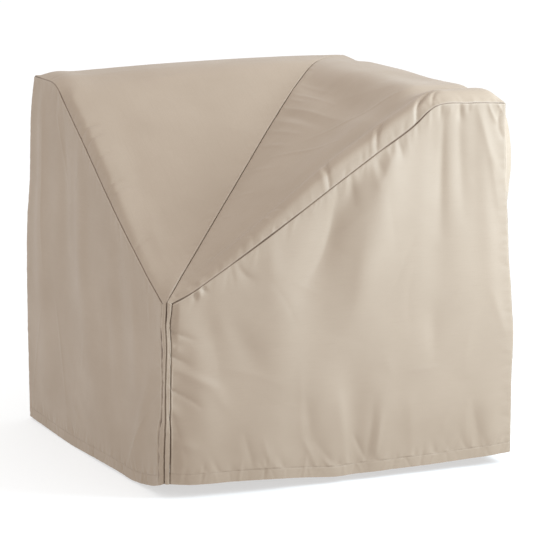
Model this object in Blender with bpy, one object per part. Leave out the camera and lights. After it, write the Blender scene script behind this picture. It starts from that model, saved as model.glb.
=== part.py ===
"""Fitted outdoor cover for the corner seat of a sectional sofa.

The cover is six panels of coated cloth, sewn edge to edge: two side walls, two top panels and two
back walls. Each top panel is one cut piece. It lies flat over a sofa back as a ridge, falls as a
triangle towards the open seat corner, and runs on as a narrow strip down that corner to the hem.

Metres, +Z up. The plan is square. The open seat corner A is at (-x, -y). The side walls run from A
to D at (+x, -y) and from A to B at (-x, +y), and the back walls meet at C (+x, +y). A run is a
distance from A along a side wall. The origin is at the middle of the plan, level with the lowest
point of the hem.
"""
import math
from collections import namedtuple

import bpy
import numpy as np

# ------------------------------------------------------------------ driving sizes

WIDTH = 0.850            # plan, both ways, over the top seams
HALF = WIDTH / 2
CLOTH = 0.002            # thickness of the coated cloth
SEAM_SETBACK = 0.0003    # how far each panel's edge stops short of the seam's middle
STRIP_RIGHT = 0.019      # run from the corner A to the seam beside the right strip
STRIP_LEFT = 0.022       # the same on the left side wall
CORNER_ROUND = 0.0055    # how far the middle seam stands in from the square corner A
STRIP_CROWN = 0.0015     # how far a strip bows out between its two seams
MITRE_REACH = 0.006      # how far from a seam the inner surface still follows the mitre
STEEPEST_MITRE = 0.6     # least cosine between a mitre and its panels' normals

ROLL_RIGHT = 0.008       # reach of the roll from the right slope down to its side seam
ROLL_LEFT = 0.010        # the same on the left
ROLL_RIDGE = 0.026       # the same where the top lies flat over a back
REAR_ROLL = 0.017        # reach of the roll from the ridge down to the rear seam
REAR_DROP = 0.024        # height of that roll
RIDGE_START = 0.62       # run where the slope begins to turn into the ridge
RIDGE_FULL = 0.70        # run where the ridge is level
RIDGE_END = 6            # how late a ridge's own rise fades towards C
ROLL_POWER = 1.5         # shape of the roll down to a side seam
REAR_POWER = 1.6         # shape of the roll down to the rear seam
WALL_SPREAD = 0.020      # how far the middle of a wall stands out at the hem
WALL_FULL = 0.46         # height below which it stands out in full
WALL_FLAT = 0.84         # height above which it is flat
WALL_POWER = 0.8         # how early it stands out on the way in from a corner
NARROW = 0.03            # width of a top panel up to which its columns are even
BROAD = 0.30             # width from which they crowd at its edges
LEAST_FALL = 0.02        # least width over which a top panel falls to its middle seam
FOLD_START = 0.12        # share of half a wave at which a fold starts and ends
EDGE_REACH = 0.03        # how far from a panel's seams its folds are nearly full
CORNER_REACH = 0.02      # the same beside a back wall's outer corner

COLUMNS = 26             # cells along a side wall, and down a slope and ridge
ROWS = 17                # cells from hem to top seam, and down a strip
ACROSS = 13              # cells across a top panel, and along a back wall
SEAM_CROWD = 1.45        # how strongly the cells across a ridge crowd towards its seam

# ------------------------------------------------------------------ tables, one row for a place

Line = namedtuple("Line", "run height")
Rim = namedtuple("Rim", "inset rise")
Spread = namedtuple("Spread", "height out")
Fold = namedtuple("Fold", "start end width_start width_end height")

VALLEY = [               # middle seam, where the two top panels meet over the diagonal
    Line(0.0055, 0.452), Line(0.039, 0.482), Line(0.101, 0.524), Line(0.351, 0.692),
    Line(0.454, 0.761), Line(0.600, 0.847), Line(0.665, 0.874), Line(0.720, 0.879),
    Line(0.850, 0.868)]

RIGHT_SEAM = [           # top seam of the right side wall
    Line(0.019, 0.446), Line(0.251, 0.591), Line(0.400, 0.685), Line(0.516, 0.757),
    Line(0.618, 0.820), Line(0.650, 0.848), Line(0.672, 0.860), Line(0.764, 0.861),
    Line(0.850, 0.856)]
LEFT_SEAM = [            # top seam of the left side wall
    Line(0.022, 0.444), Line(0.094, 0.488), Line(0.147, 0.524), Line(0.400, 0.676),
    Line(0.640, 0.818), Line(0.680, 0.842), Line(0.705, 0.853), Line(0.740, 0.858),
    Line(0.850, 0.857)]

RIGHT_CREST = [          # raised rim of the right slope, just inside its seam
    Line(0.019, 0.447), Line(0.155, 0.547), Line(0.239, 0.610), Line(0.332, 0.679),
    Line(0.409, 0.733), Line(0.509, 0.793), Line(0.570, 0.833), Line(0.665, 0.879),
    Line(0.720, 0.883), Line(0.850, 0.880)]
LEFT_CREST = [           # raised rim of the left slope
    Line(0.022, 0.446), Line(0.147, 0.534), Line(0.300, 0.640), Line(0.450, 0.735),
    Line(0.600, 0.818), Line(0.680, 0.861), Line(0.740, 0.875), Line(0.850, 0.875)]

RIGHT_RIDGE = [          # how the right ridge rises and dips along its length, from D to C
    Rim(0.000, 0.003), Rim(0.036, 0.006), Rim(0.080, 0.002), Rim(0.120, -0.008),
    Rim(0.173, 0.000), Rim(0.330, -0.002), Rim(0.486, 0.002), Rim(0.640, 0.002),
    Rim(0.746, -0.009), Rim(0.800, -0.001), Rim(0.850, -0.001)]
LEFT_RIDGE = [           # the same from B to C
    Rim(0.000, -0.004), Rim(0.040, -0.003), Rim(0.090, -0.006), Rim(0.150, -0.004),
    Rim(0.300, 0.001), Rim(0.450, 0.004), Rim(0.620, 0.006), Rim(0.780, 0.007),
    Rim(0.850, 0.000)]

RIGHT_HEM = [
    Line(0.000, 0.033), Line(0.060, 0.029), Line(0.129, 0.029), Line(0.244, 0.026),
    Line(0.330, 0.020), Line(0.420, 0.014), Line(0.530, 0.016), Line(0.640, 0.017),
    Line(0.795, 0.023), Line(0.850, 0.026)]
LEFT_HEM = [
    Line(0.000, 0.032), Line(0.066, 0.015), Line(0.180, 0.003), Line(0.300, 0.004),
    Line(0.460, 0.002), Line(0.550, 0.000), Line(0.730, 0.002), Line(0.850, 0.004)]
BACK_RIGHT_HEM = [Line(0.000, 0.026), Line(0.250, 0.012), Line(0.600, 0.008), Line(0.850, 0.014)]
BACK_LEFT_HEM = [Line(0.000, 0.004), Line(0.300, 0.003), Line(0.600, 0.009), Line(0.850, 0.014)]

# How far the cover has opened out at each corner, both ways, over its plan at the top seams.
OPEN_SPREAD = [Spread(0.000, 0.011), Spread(0.200, 0.007), Spread(0.440, 0.000)]
RIGHT_SPREAD = [
    Spread(0.000, 0.018), Spread(0.190, 0.018), Spread(0.310, 0.020), Spread(0.370, 0.017),
    Spread(0.430, 0.014), Spread(0.490, 0.010), Spread(0.550, 0.008), Spread(0.670, 0.003),
    Spread(0.840, 0.000)]
LEFT_SPREAD = [
    Spread(0.000, 0.014), Spread(0.310, 0.017), Spread(0.490, 0.016), Spread(0.610, 0.010),
    Spread(0.787, 0.006), Spread(0.845, 0.000)]
REAR_SPREAD = [Spread(0.000, 0.018), Spread(0.450, 0.016), Spread(0.830, 0.000)]

# Folds of the side walls: start and end are (run, height), height is how far the fold stands out.
RIGHT_FOLDS = [
    Fold((0.572, 0.800), (0.425, 0.340), 0.040, 0.070, 0.014),
    Fold((0.470, 0.740), (0.335, 0.460), 0.026, 0.048, -0.011),
    Fold((0.672, 0.850), (0.662, 0.300), 0.018, 0.050, -0.004),
    Fold((0.785, 0.850), (0.810, 0.300), 0.014, 0.035, 0.003),
    Fold((0.265, 0.480), (0.275, 0.200), 0.050, 0.070, 0.007),
    Fold((0.085, 0.440), (0.110, 0.320), 0.025, 0.035, -0.004),
    Fold((0.230, 0.330), (0.220, -0.200), 0.120, 0.150, 0.014),
    Fold((0.075, 0.330), (0.095, -0.100), 0.035, 0.055, 0.008),
    Fold((0.300, 0.220), (0.318, -0.050), 0.045, 0.034, -0.003),
    Fold((0.375, 0.300), (0.412, -0.050), 0.045, 0.034, 0.004),
    Fold((0.445, 0.280), (0.462, -0.050), 0.040, 0.028, -0.004),
    Fold((0.510, 0.260), (0.510, -0.050), 0.045, 0.030, 0.003),
    Fold((0.790, 0.170), (0.795, -0.050), 0.040, 0.030, 0.004)]
LEFT_FOLDS = [
    Fold((0.780, 0.840), (0.720, 0.120), 0.020, 0.060, 0.007),
    Fold((0.640, 0.800), (0.560, 0.300), 0.022, 0.050, -0.006),
    Fold((0.520, 0.700), (0.400, 0.150), 0.030, 0.060, 0.008),
    Fold((0.270, 0.560), (0.220, 0.100), 0.030, 0.060, -0.006),
    Fold((0.090, 0.250), (0.190, 0.000), 0.020, 0.030, 0.005)]
BACK_RIGHT_FOLDS = [
    Fold((0.021, 0.840), (0.021, 0.620), 0.030, 0.025, 0.034),
    Fold((0.160, 0.840), (0.200, 0.150), 0.030, 0.070, 0.008),
    Fold((0.420, 0.840), (0.400, 0.100), 0.040, 0.080, -0.007),
    Fold((0.660, 0.840), (0.640, 0.120), 0.030, 0.070, 0.008)]
BACK_LEFT_FOLDS = [
    Fold((0.160, 0.840), (0.200, 0.150), 0.030, 0.070, 0.008),
    Fold((0.420, 0.840), (0.400, 0.100), 0.040, 0.080, -0.007),
    Fold((0.660, 0.840), (0.640, 0.120), 0.030, 0.070, 0.008)]

# Folds of the top panels: start and end are (run, inset), inset being the distance from the seam.
RIGHT_TOP_FOLDS = [
    Fold((0.700, 0.115), (0.140, 0.070), 0.055, 0.030, -0.014),
    Fold((0.600, 0.560), (0.600, 0.080), 0.034, 0.050, -0.016),
    Fold((0.690, 0.040), (0.080, 0.036), 0.026, 0.020, 0.009),
    Fold((0.640, 0.300), (0.280, 0.130), 0.120, 0.060, -0.020)]
LEFT_TOP_FOLDS = [
    Fold((0.560, 0.110), (0.230, 0.070), 0.040, 0.030, -0.006),
    Fold((0.480, 0.240), (0.300, 0.160), 0.060, 0.040, 0.003)]


# ------------------------------------------------------------------ curves

def through(rows, at):
    """Values of a smooth curve through a table's rows, which never overshoots them."""
    place, value = np.array(rows, dtype=float).T
    step = np.diff(place)
    slope = np.diff(value) / step
    tangent = np.concatenate(([slope[0]], (slope[:-1] + slope[1:]) / 2, [slope[-1]]))
    turns = slope[:-1] * slope[1:] <= 0
    tangent[1:-1][turns] = 0.0
    at = np.clip(at, place[0], place[-1])
    cell = np.clip(np.searchsorted(place, at, side="right") - 1, 0, len(step) - 1)
    t = (at - place[cell]) / step[cell]
    return (value[cell] * (1 + 2 * t) * (1 - t) ** 2 + value[cell + 1] * t * t * (3 - 2 * t)
            + step[cell] * (tangent[cell] * t * (1 - t) ** 2 + tangent[cell + 1] * t * t * (t - 1)))


def ease(value, low, high):
    """A smooth step from 0 at low to 1 at high."""
    t = np.clip((value - low) / (high - low), 0.0, 1.0)
    return t * t * (3 - 2 * t)


def rise(distance, reach):
    """0 on an edge, 1 well inside it."""
    return 1 - np.exp(-(distance / reach) ** 2)


def folds(table, a, b):
    """Sum of the soft ridges and troughs of a table, at places (a, b) of a panel."""
    total = np.zeros(np.broadcast(a, b).shape)
    for fold in table:
        da, db = fold.end[0] - fold.start[0], fold.end[1] - fold.start[1]
        length = math.hypot(da, db)
        along = ((a - fold.start[0]) * da + (b - fold.start[1]) * db) / length ** 2
        beside = ((a - fold.start[0]) * db - (b - fold.start[1]) * da) / length
        inside = np.clip(along, 0.0, 1.0)
        width = fold.width_start + (fold.width_end - fold.width_start) * inside
        beyond = (along - inside) * length
        fade = np.sin(math.pi * (FOLD_START + (1 - 2 * FOLD_START) * inside))
        total += fold.height * fade * np.exp(-(beside ** 2 + beyond ** 2) / width ** 2)
    return total


# ------------------------------------------------------------------ stations shared by the panels

RHO = np.linspace(0.0, 1.0, COLUMNS + 1)                   # along a run, 0 at corner A
LEVEL = np.linspace(0.0, 1.0, ROWS + 1)                    # up a wall, 0 at the hem
EVEN = np.linspace(0.0, 1.0, ACROSS + 1)                    # across a strip, 0 at its side seam
CROWDED = EVEN ** SEAM_CROWD                               # across a ridge, closer at the seam

Side = namedtuple(
    "Side", "strip roll seam crest ridge hem spread wall_folds top_folds back_hem back_folds")
RIGHT = Side(STRIP_RIGHT, ROLL_RIGHT, RIGHT_SEAM, RIGHT_CREST, RIGHT_RIDGE, RIGHT_HEM, RIGHT_SPREAD,
             RIGHT_FOLDS, RIGHT_TOP_FOLDS, BACK_RIGHT_HEM, BACK_RIGHT_FOLDS)
LEFT = Side(STRIP_LEFT, ROLL_LEFT, LEFT_SEAM, LEFT_CREST, LEFT_RIDGE, LEFT_HEM, LEFT_SPREAD,
            LEFT_FOLDS, LEFT_TOP_FOLDS, BACK_LEFT_HEM, BACK_LEFT_FOLDS)


def opened(share, height, near, far):
    """Where a wall's cloth lies at a share of its length: how far along it moves and how far out,
    from how far its two corners have opened."""
    corners = near * (1 - share) ** 2 + far * share ** 2
    middle = WALL_SPREAD * (1 - ease(height, WALL_FULL, WALL_FLAT))
    out = corners + (middle - corners / 2) * np.sin(math.pi * share) ** WALL_POWER
    return far * share ** 3 - near * (1 - share) ** 3, out


def wall(side, run, height):
    """Run and outward distance of a side wall's cloth, in the wall's own directions."""
    along, out = opened(run / WIDTH, height, through(OPEN_SPREAD, height),
                        through(side.spread, height))
    return run + along, out


def side_wall(side):
    """Columns along the run and rows up from the hem: run, outward distance and height."""
    run = (side.strip + (WIDTH - side.strip) * RHO)[:, None]
    top = through(side.seam, run)
    hem = through(side.hem, run)
    height = hem + (top - hem) * LEVEL[None, :]
    moved, out = wall(side, run, height)
    inside = rise(top - height, EDGE_REACH) * rise(run - side.strip, EDGE_REACH)
    inside = inside * rise(WIDTH - run, EDGE_REACH)
    return moved, out + inside * folds(side.wall_folds, run, height), height


def middle_seam():
    """The seam between the top panels, from C over the ridge and down the valley to A."""
    run = CORNER_ROUND + (WIDTH - CORNER_ROUND) * RHO
    drop = REAR_DROP * np.exp(-((WIDTH - run) / REAR_ROLL) ** REAR_POWER)
    return run, through(VALLEY, run) - drop


def top_panel(side):
    """Ridge and slope of a top panel: rows along the run, columns from its side seam to the middle
    seam. Gives run, inset from the side wall's plane and height."""
    seam_run = side.strip + (WIDTH - side.strip) * RHO
    middle_run, middle_height = middle_seam()
    seam_height = through(side.seam, seam_run)
    seam_place, seam_out = wall(side, seam_run, seam_height)
    reach = (middle_run + seam_out)[:, None]
    cross = EVEN + (CROWDED - EVEN) * ease(reach, NARROW, BROAD)
    run = seam_place[:, None] + (middle_run - seam_place)[:, None] * cross
    from_seam = reach * cross
    inset = from_seam - seam_out[:, None]
    crest = through(side.crest, seam_run)[:, None]
    ridge = ease(run, RIDGE_START, RIDGE_FULL) * through(side.ridge, from_seam)
    drop = REAR_DROP * np.exp(-((WIDTH - run) / REAR_ROLL) ** REAR_POWER)
    valley = through(VALLEY, middle_run)[:, None]
    across = ease(from_seam, 0.0, np.maximum(reach, LEAST_FALL))
    surface = crest + (valley - crest) * across + ridge * (1 - cross ** RIDGE_END) - drop
    roll = side.roll + (ROLL_RIDGE - side.roll) * ease(seam_run, RIDGE_START, RIDGE_FULL)[:, None]
    rolled = np.exp(-(from_seam / roll) ** ROLL_POWER)
    at_middle = np.exp(-(reach / roll) ** ROLL_POWER)
    rolled = (rolled - at_middle) / (1 - at_middle)
    height = surface - (surface[:, :1] - seam_height[:, None]) * rolled
    inside = rise(from_seam, EDGE_REACH) * rise(reach - from_seam, EDGE_REACH)
    inside = inside * rise(WIDTH - run, EDGE_REACH)
    height = height + inside * folds(side.top_folds, run, from_seam)
    height[:, -1] = middle_height
    return run, inset, height


def strip(side, other):
    """The strip down corner A, from just under the slope to the hem: rows down, columns from the
    side seam to the middle seam."""
    down = LEVEL[::-1][1:]
    low, top = through(side.hem, side.strip), through(side.seam, side.strip)
    seam_height = low + (top - low) * down
    moved, out = wall(side, np.full_like(down, side.strip), seam_height)
    middle_top = VALLEY[0].height
    low = (through(side.hem, 0.0) + through(other.hem, 0.0)) / 2
    middle_height = low + (middle_top - low) * down
    middle = CORNER_ROUND - through(OPEN_SPREAD, middle_height)
    crown = STRIP_CROWN * np.sin(math.pi * EVEN)[None, :]
    run = moved[:, None] + (middle - moved)[:, None] * EVEN - crown
    inset = -out[:, None] + (middle + out)[:, None] * EVEN - crown
    height = seam_height[:, None] + (middle_height - seam_height)[:, None] * EVEN
    return run, inset, height


def back_wall(side, top_edge):
    """A back wall: columns from its side wall to C, rows up from the hem. The inset runs along the
    wall from the side wall's plane, and the outward distance is measured from the rear plane."""
    inset, edge_height = (values[:, None] for values in top_edge)
    share = np.clip(inset / WIDTH, 0.0, 1.0)
    low = through(side.back_hem, share * WIDTH)
    height = low + (edge_height - low) * LEVEL[None, :]
    along, out = opened(share, height, through(side.spread, height), through(REAR_SPREAD, height))
    inside = rise(edge_height - height, EDGE_REACH) * rise(inset, CORNER_REACH)
    inside = inside * rise(WIDTH - inset, EDGE_REACH)
    return inset + along, out + inside * folds(side.back_folds, inset, height), height


# ------------------------------------------------------------------ panels in space

def stack(x, y, z):
    return np.stack(np.broadcast_arrays(x, y, z), axis=-1)


def surfaces():
    """Outer surface of each panel, as a grid of points."""
    grids = {}
    for name, side, other in (("right", RIGHT, LEFT), ("left", LEFT, RIGHT)):
        run, out, height = side_wall(side)
        wall_grid = stack(run - HALF, -HALF - out, height)
        run, inset, height = top_panel(side)
        edge = inset[-1], height[-1]
        lower = strip(side, other)
        parts = [np.concatenate((upper[::-1], low)) for upper, low in zip((run, inset, height), lower)]
        top_grid = stack(parts[0] - HALF, parts[1] - HALF, parts[2])
        inset, out, height = back_wall(side, edge)
        back_grid = stack(HALF + out, inset - HALF, height)
        for kind, grid in (("side", wall_grid), ("top", top_grid), ("back", back_grid)):
            grids[f"{kind}_{name}"] = grid if name == "right" else grid[..., [1, 0, 2]]
    return grids


def outward_normals(grid, away):
    """Unit normals of a grid of points, all on the side of the direction away."""
    normal = np.cross(np.gradient(grid, axis=0), np.gradient(grid, axis=1))
    normal /= np.linalg.norm(normal, axis=2, keepdims=True)
    return normal if (normal @ away).sum() > 0 else -normal


def rim_places(rows, columns):
    """Grid places round the rim of a panel, in order."""
    return ([(0, j) for j in range(columns - 1)] + [(i, columns - 1) for i in range(rows - 1)]
            + [(rows - 1, j) for j in range(columns - 1, 0, -1)] + [(i, 0) for i in range(rows - 1, 0, -1)])


def rim_key(point):
    return tuple(np.round(point, 4))


def seam_mitres(grids, normals):
    """The step from the outer to the inner surface at each rim point. The panels that meet there
    share it, so both sides of a seam are cut on the same mitre."""
    shared = {}
    for name, grid in grids.items():
        for place in rim_places(*grid.shape[:2]):
            shared.setdefault(rim_key(grid[place]), []).append(normals[name][place])
    mitres = {}
    for key, found in shared.items():
        middle = np.mean(found, axis=0)
        middle /= np.linalg.norm(middle)
        mitres[key] = -CLOTH / max(STEEPEST_MITRE, float(np.mean(found @ middle))) * middle
    return mitres


def follow_seams(grid, offset):
    """Near its two long seams a panel's inner surface turns smoothly into their mitres, which keeps
    the layers of the narrow strip in order."""
    to_first = np.linalg.norm(grid - grid[:, :1], axis=2, keepdims=True)
    to_last = np.linalg.norm(grid - grid[:, -1:], axis=2, keepdims=True)
    between = (offset[:, :1] * to_last + offset[:, -1:] * to_first) / (to_first + to_last)
    near = np.exp(-(np.minimum(to_first, to_last) / MITRE_REACH) ** 2)
    return offset + (between - offset) * near


def thick_panel(name, grid, normal, mitres):
    """A closed sheet: the outer surface, an inner one a cloth's thickness in, and the rim between."""
    rows, columns = grid.shape[:2]
    inner_offset = -CLOTH * normal
    setback = np.zeros_like(grid)
    for i, j in rim_places(rows, columns):
        inner_offset[i, j] = mitres[rim_key(grid[i, j])]
        inward = grid[min(max(i, 1), rows - 2), min(max(j, 1), columns - 2)] - grid[i, j]
        setback[i, j] = inward * SEAM_SETBACK / np.linalg.norm(inward)
    inner_offset = follow_seams(grid, inner_offset)
    outer = grid + setback
    inner = outer + inner_offset
    points = np.concatenate((outer.reshape(-1, 3), inner.reshape(-1, 3)))
    below = rows * columns
    faces = []
    for i in range(rows - 1):
        for j in range(columns - 1):
            a, b, c, d = (i * columns + j, (i + 1) * columns + j,
                          (i + 1) * columns + j + 1, i * columns + j + 1)
            faces += [(a, b, c, d), (a + below, d + below, c + below, b + below)]
    rim = [(rim_key(grid[i, j]), i * columns + j) for i, j in rim_places(rows, columns)]
    for (here_key, here), (there_key, there) in zip(rim, rim[1:] + rim[:1]):
        if here_key < there_key:         # both sides of a seam split their rim faces alike
            faces += [(here, there, there + below), (here, there + below, here + below)]
        else:
            faces += [(here, there, here + below), (there, there + below, here + below)]
    across = np.cross(grid[1, 0] - grid[0, 0], grid[0, 1] - grid[0, 0])
    if across @ normal[0, 0] < 0:
        faces = [face[::-1] for face in faces]
    mesh = bpy.data.meshes.new(name)
    mesh.from_pydata(points.tolist(), [], faces)
    mesh.validate()
    mesh.shade_smooth()
    mesh.set_sharp_from_angle(angle=math.radians(50))
    return mesh


# ------------------------------------------------------------------ the object

def cloth_material(name, colour):
    """Coated polyester, closely woven and slightly satin."""
    material = bpy.data.materials.new(name)
    material.use_nodes = True
    shader = material.node_tree.nodes["Principled BSDF"]
    shader.inputs["Base Color"].default_value = (*colour, 1.0)
    shader.inputs["Roughness"].default_value = 0.62
    shader.inputs["Metallic"].default_value = 0.0
    return material


AWAY = {"side_right": (0, -1, 0), "side_left": (-1, 0, 0), "top_right": (-0.3, -0.1, 1),
        "top_left": (-0.1, -0.3, 1), "back_right": (1, 0, 0), "back_left": (0, 1, 0)}
CLOTH_COLOUR = (0.560, 0.460, 0.355)


def build():
    for old in list(bpy.data.objects):
        bpy.data.objects.remove(old, do_unlink=True)
    collection = bpy.data.collections.new("corner_sofa_cover")
    bpy.context.scene.collection.children.link(collection)
    grids = surfaces()
    normals = {name: outward_normals(grid, np.array(AWAY[name], dtype=float))
               for name, grid in grids.items()}
    mitres = seam_mitres(grids, normals)
    for name, grid in grids.items():
        panel = bpy.data.objects.new(name, thick_panel(name, grid, normals[name], mitres))
        panel.data.materials.append(cloth_material(name + "_cloth", CLOTH_COLOUR))
        collection.objects.link(panel)


build()
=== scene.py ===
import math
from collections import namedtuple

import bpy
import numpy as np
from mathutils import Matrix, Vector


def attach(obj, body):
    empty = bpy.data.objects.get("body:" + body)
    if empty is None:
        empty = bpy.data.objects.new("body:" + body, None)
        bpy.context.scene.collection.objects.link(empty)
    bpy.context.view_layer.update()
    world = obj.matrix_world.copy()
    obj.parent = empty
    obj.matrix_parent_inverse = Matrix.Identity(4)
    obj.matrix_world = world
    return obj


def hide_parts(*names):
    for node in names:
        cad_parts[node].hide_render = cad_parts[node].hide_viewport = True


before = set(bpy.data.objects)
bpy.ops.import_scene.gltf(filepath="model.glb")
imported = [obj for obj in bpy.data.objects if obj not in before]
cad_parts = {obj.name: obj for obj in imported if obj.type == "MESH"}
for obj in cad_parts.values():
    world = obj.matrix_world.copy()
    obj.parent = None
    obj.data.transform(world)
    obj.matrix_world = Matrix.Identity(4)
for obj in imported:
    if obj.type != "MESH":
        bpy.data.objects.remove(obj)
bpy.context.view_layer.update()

# Looks of the fitted outdoor cover for a sofa's corner seat: six panels of coated cloth, each a thin
# sheet on the folds of its solid, with its seams, gathers, creases and stitched hem.
#
# Metres, in the frame's axes, but the tables that from_mm reads are in millimetres. The open seat
# corner A is at (-x, -y), D at (+x, -y), B at (-x, +y) and C at (+x, +y). A run is a distance from A
# along a side wall.

# ---- sizes that the solids share

WIDTH = 0.850            # plan, both ways, over the top seams
HALF = WIDTH / 2
STRIP_RIGHT = 0.019      # run from the corner A to the seam beside the right strip
STRIP_LEFT = 0.022       # the same on the left side wall
CORNER_ROUND = 0.0055    # how far the middle seam stands in from the square corner A
STRIP_CROWN = 0.0015     # how far a strip bows out between its two seams

ROLL_RIGHT = 0.008       # reach of the roll from the right slope down to its side seam
ROLL_LEFT = 0.010        # the same on the left
ROLL_RIDGE = 0.026       # the same where the top lies flat over a back
REAR_ROLL = 0.017        # reach of the roll from the ridge down to the rear seam
REAR_DROP = 0.024        # height of that roll
RIDGE_START = 0.62       # run where the slope begins to turn into the ridge
RIDGE_FULL = 0.70        # run where the ridge is level
RIDGE_END = 6            # how late a ridge's own rise fades towards C
ROLL_POWER = 1.5         # shape of the roll down to a side seam
REAR_POWER = 1.6         # shape of the roll down to the rear seam
WALL_SPREAD = 0.020      # how far the middle of a wall stands out at the hem
WALL_FULL = 0.46         # height below which it stands out in full
WALL_FLAT = 0.84         # height above which it is flat
WALL_POWER = 0.8         # how early it stands out on the way in from a corner
NARROW = 0.03            # width of a top panel up to which its columns are even
BROAD = 0.30             # width from which they crowd at its edges
LEAST_FALL = 0.02        # least width over which a top panel falls to its middle seam
FOLD_START = 0.12        # share of half a wave at which a fold starts and ends
EDGE_REACH = 0.03        # how far from a panel's seams its folds are nearly full
CORNER_REACH = 0.02      # the same beside a back wall's outer corner

# ---- sizes of the sewing

CLOTH = 0.0007           # thickness of the cloth shown
HEM_DEPTH = 0.0245       # from the hem's edge up to its stitching
HEM_CLOTH = 0.0015       # thickness of the doubled cloth in the hem
GROOVE_DEPTH = 0.0026    # how far a seam is drawn in
GROOVE_REACH = 0.0017    # how far from the seam the cloth turns down into it
GROOVE_POWER = 1.6       # how suddenly it turns
PILLOW_RISE = 0.0007     # how far the cloth stands up beside a seam
PILLOW_REACH = 0.011     # how far from the seam it stands highest
STRIP_PILLOW = 0.0011    # the same two on the strips down the open corner
STRIP_PILLOW_REACH = 0.0035
SEAM_SHADE = 0.85        # how dark a seam's line is painted where no painted shadow says more: partly its own line, mostly painted shade in its groove
SEAM_SHADE_REACH = 0.0014
MARK_FADE = 0.012        # height over which a seam's painted shadow, or a rim beside it, comes and goes
MARK_POWER = 4           # how sharply the painted shadow ends beside the seam
RUB_AND_HIGHLIGHT = 0.4             # how far the rim beside any seam is painted lighter: rubbed, and a painted highlight
RIM_AWAY = 0.0028        # from a seam to that rim
RIM_REACH = 0.0014
TURN_REACH = 0.004       # from a seam, how far the cloth turns to face the way that the seam does
HEM_STEP = 0.002         # height over which the doubled cloth of the hem ends
STITCH_DIP = 0.0007      # how far the hem's stitching draws the cloth in
STITCH_REACH = 0.0015
STITCH_PITCH = 0.0040    # the hem's stitches: from one to the next, length, width and height
STITCH_LENGTH = 0.0034
STITCH_WIDE = 0.0008
STITCH_HIGH = 0.0005
STITCH_SIDES = 6
STITCH_RINGS = (         # share of a stitch's length, and of its width and height there
    (-0.5, 0.15), (-0.3, 0.85), (0.0, 1.0), (0.3, 0.85), (0.5, 0.15))

RUN_CELLS = 280          # along a side wall, and down a slope and ridge
LEVEL_CELLS = 232        # from hem to top seam
HEM_CELLS = 28           # of these, the ones in the hem
HEM_BAND = 0.036         # the height that they cover
ACROSS_CELLS = 170       # across a top panel, and along a back wall
FINE_STEPS = 8000        # steps in which their crowding is added up

# ---- tables that the solids share

NOT_LENGTHS = ("panel", "panels", "border", "dark", "sharp", "lean")     # columns that stay as given


def metres(value):
    """A length in millimetres, or a tuple of them, in metres."""
    return tuple(map(metres, value)) if isinstance(value, tuple) else value / 1000


def from_mm(kind, *rows):
    """A table of a kind of named columns, from rows in millimetres."""
    made = []
    for row in (kind(*row)._asdict() for row in rows):
        lengths = {name: metres(row[name]) for name in row if name not in NOT_LENGTHS}
        made.append(kind(**{**row, **lengths}))
    return made


Line = namedtuple("Line", "run height")
Rim = namedtuple("Rim", "inset rise")
Spread = namedtuple("Spread", "height out")
Fold = namedtuple("Fold", "start end width_start width_end height")

VALLEY = from_mm(        # middle seam, where the two top panels meet over the diagonal
    Line, (5.5, 452), (39, 482), (101, 524), (351, 692), (454, 761), (600, 847), (665, 874),
    (720, 879), (850, 868))

RIGHT_SEAM = from_mm(    # top seam of the right side wall
    Line, (19, 446), (251, 591), (400, 685), (516, 757), (618, 820), (650, 848), (672, 860),
    (764, 861), (850, 856))
LEFT_SEAM = from_mm(     # top seam of the left side wall
    Line, (22, 444), (94, 488), (147, 524), (400, 676), (640, 818), (680, 842), (705, 853), (740, 858),
    (850, 857))

RIGHT_CREST = from_mm(   # raised rim of the right slope, just inside its seam
    Line, (19, 447), (155, 547), (239, 610), (332, 679), (409, 733), (509, 793), (570, 833),
    (665, 879), (720, 883), (850, 880))
LEFT_CREST = from_mm(    # raised rim of the left slope
    Line, (22, 446), (147, 534), (300, 640), (450, 735), (600, 818), (680, 861), (740, 875), (850, 875))

RIGHT_RIDGE = from_mm(   # how the right ridge rises and dips along its length, from D to C
    Rim, (0, 3), (36, 6), (80, 2), (120, -8), (173, 0), (330, -2), (486, 2), (640, 2), (746, -9),
    (800, -1), (850, -1))
LEFT_RIDGE = from_mm(    # the same from B to C
    Rim, (0, -4), (40, -3), (90, -6), (150, -4), (300, 1), (450, 4), (620, 6), (780, 7), (850, 0))

RIGHT_HEM = from_mm(
    Line, (0, 33), (60, 29), (129, 29), (244, 26), (330, 20), (420, 14), (530, 16), (640, 17),
    (795, 23), (850, 26))
LEFT_HEM = from_mm(Line, (0, 32), (66, 15), (180, 3), (300, 4), (460, 2), (550, 0), (730, 2), (850, 4))
BACK_RIGHT_HEM = from_mm(Line, (0, 26), (250, 12), (600, 8), (850, 14))
BACK_LEFT_HEM = from_mm(Line, (0, 4), (300, 3), (600, 9), (850, 14))

# How far the cover has opened out at each corner, both ways, over its plan at the top seams.
OPEN_SPREAD = from_mm(Spread, (0, 11), (200, 7), (440, 0))
RIGHT_SPREAD = from_mm(
    Spread, (0, 18), (190, 18), (310, 20), (370, 17), (430, 14), (490, 10), (550, 8), (670, 3),
    (840, 0))
LEFT_SPREAD = from_mm(Spread, (0, 14), (310, 17), (490, 16), (610, 10), (787, 6), (845, 0))
REAR_SPREAD = from_mm(Spread, (0, 18), (450, 16), (830, 0))

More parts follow.
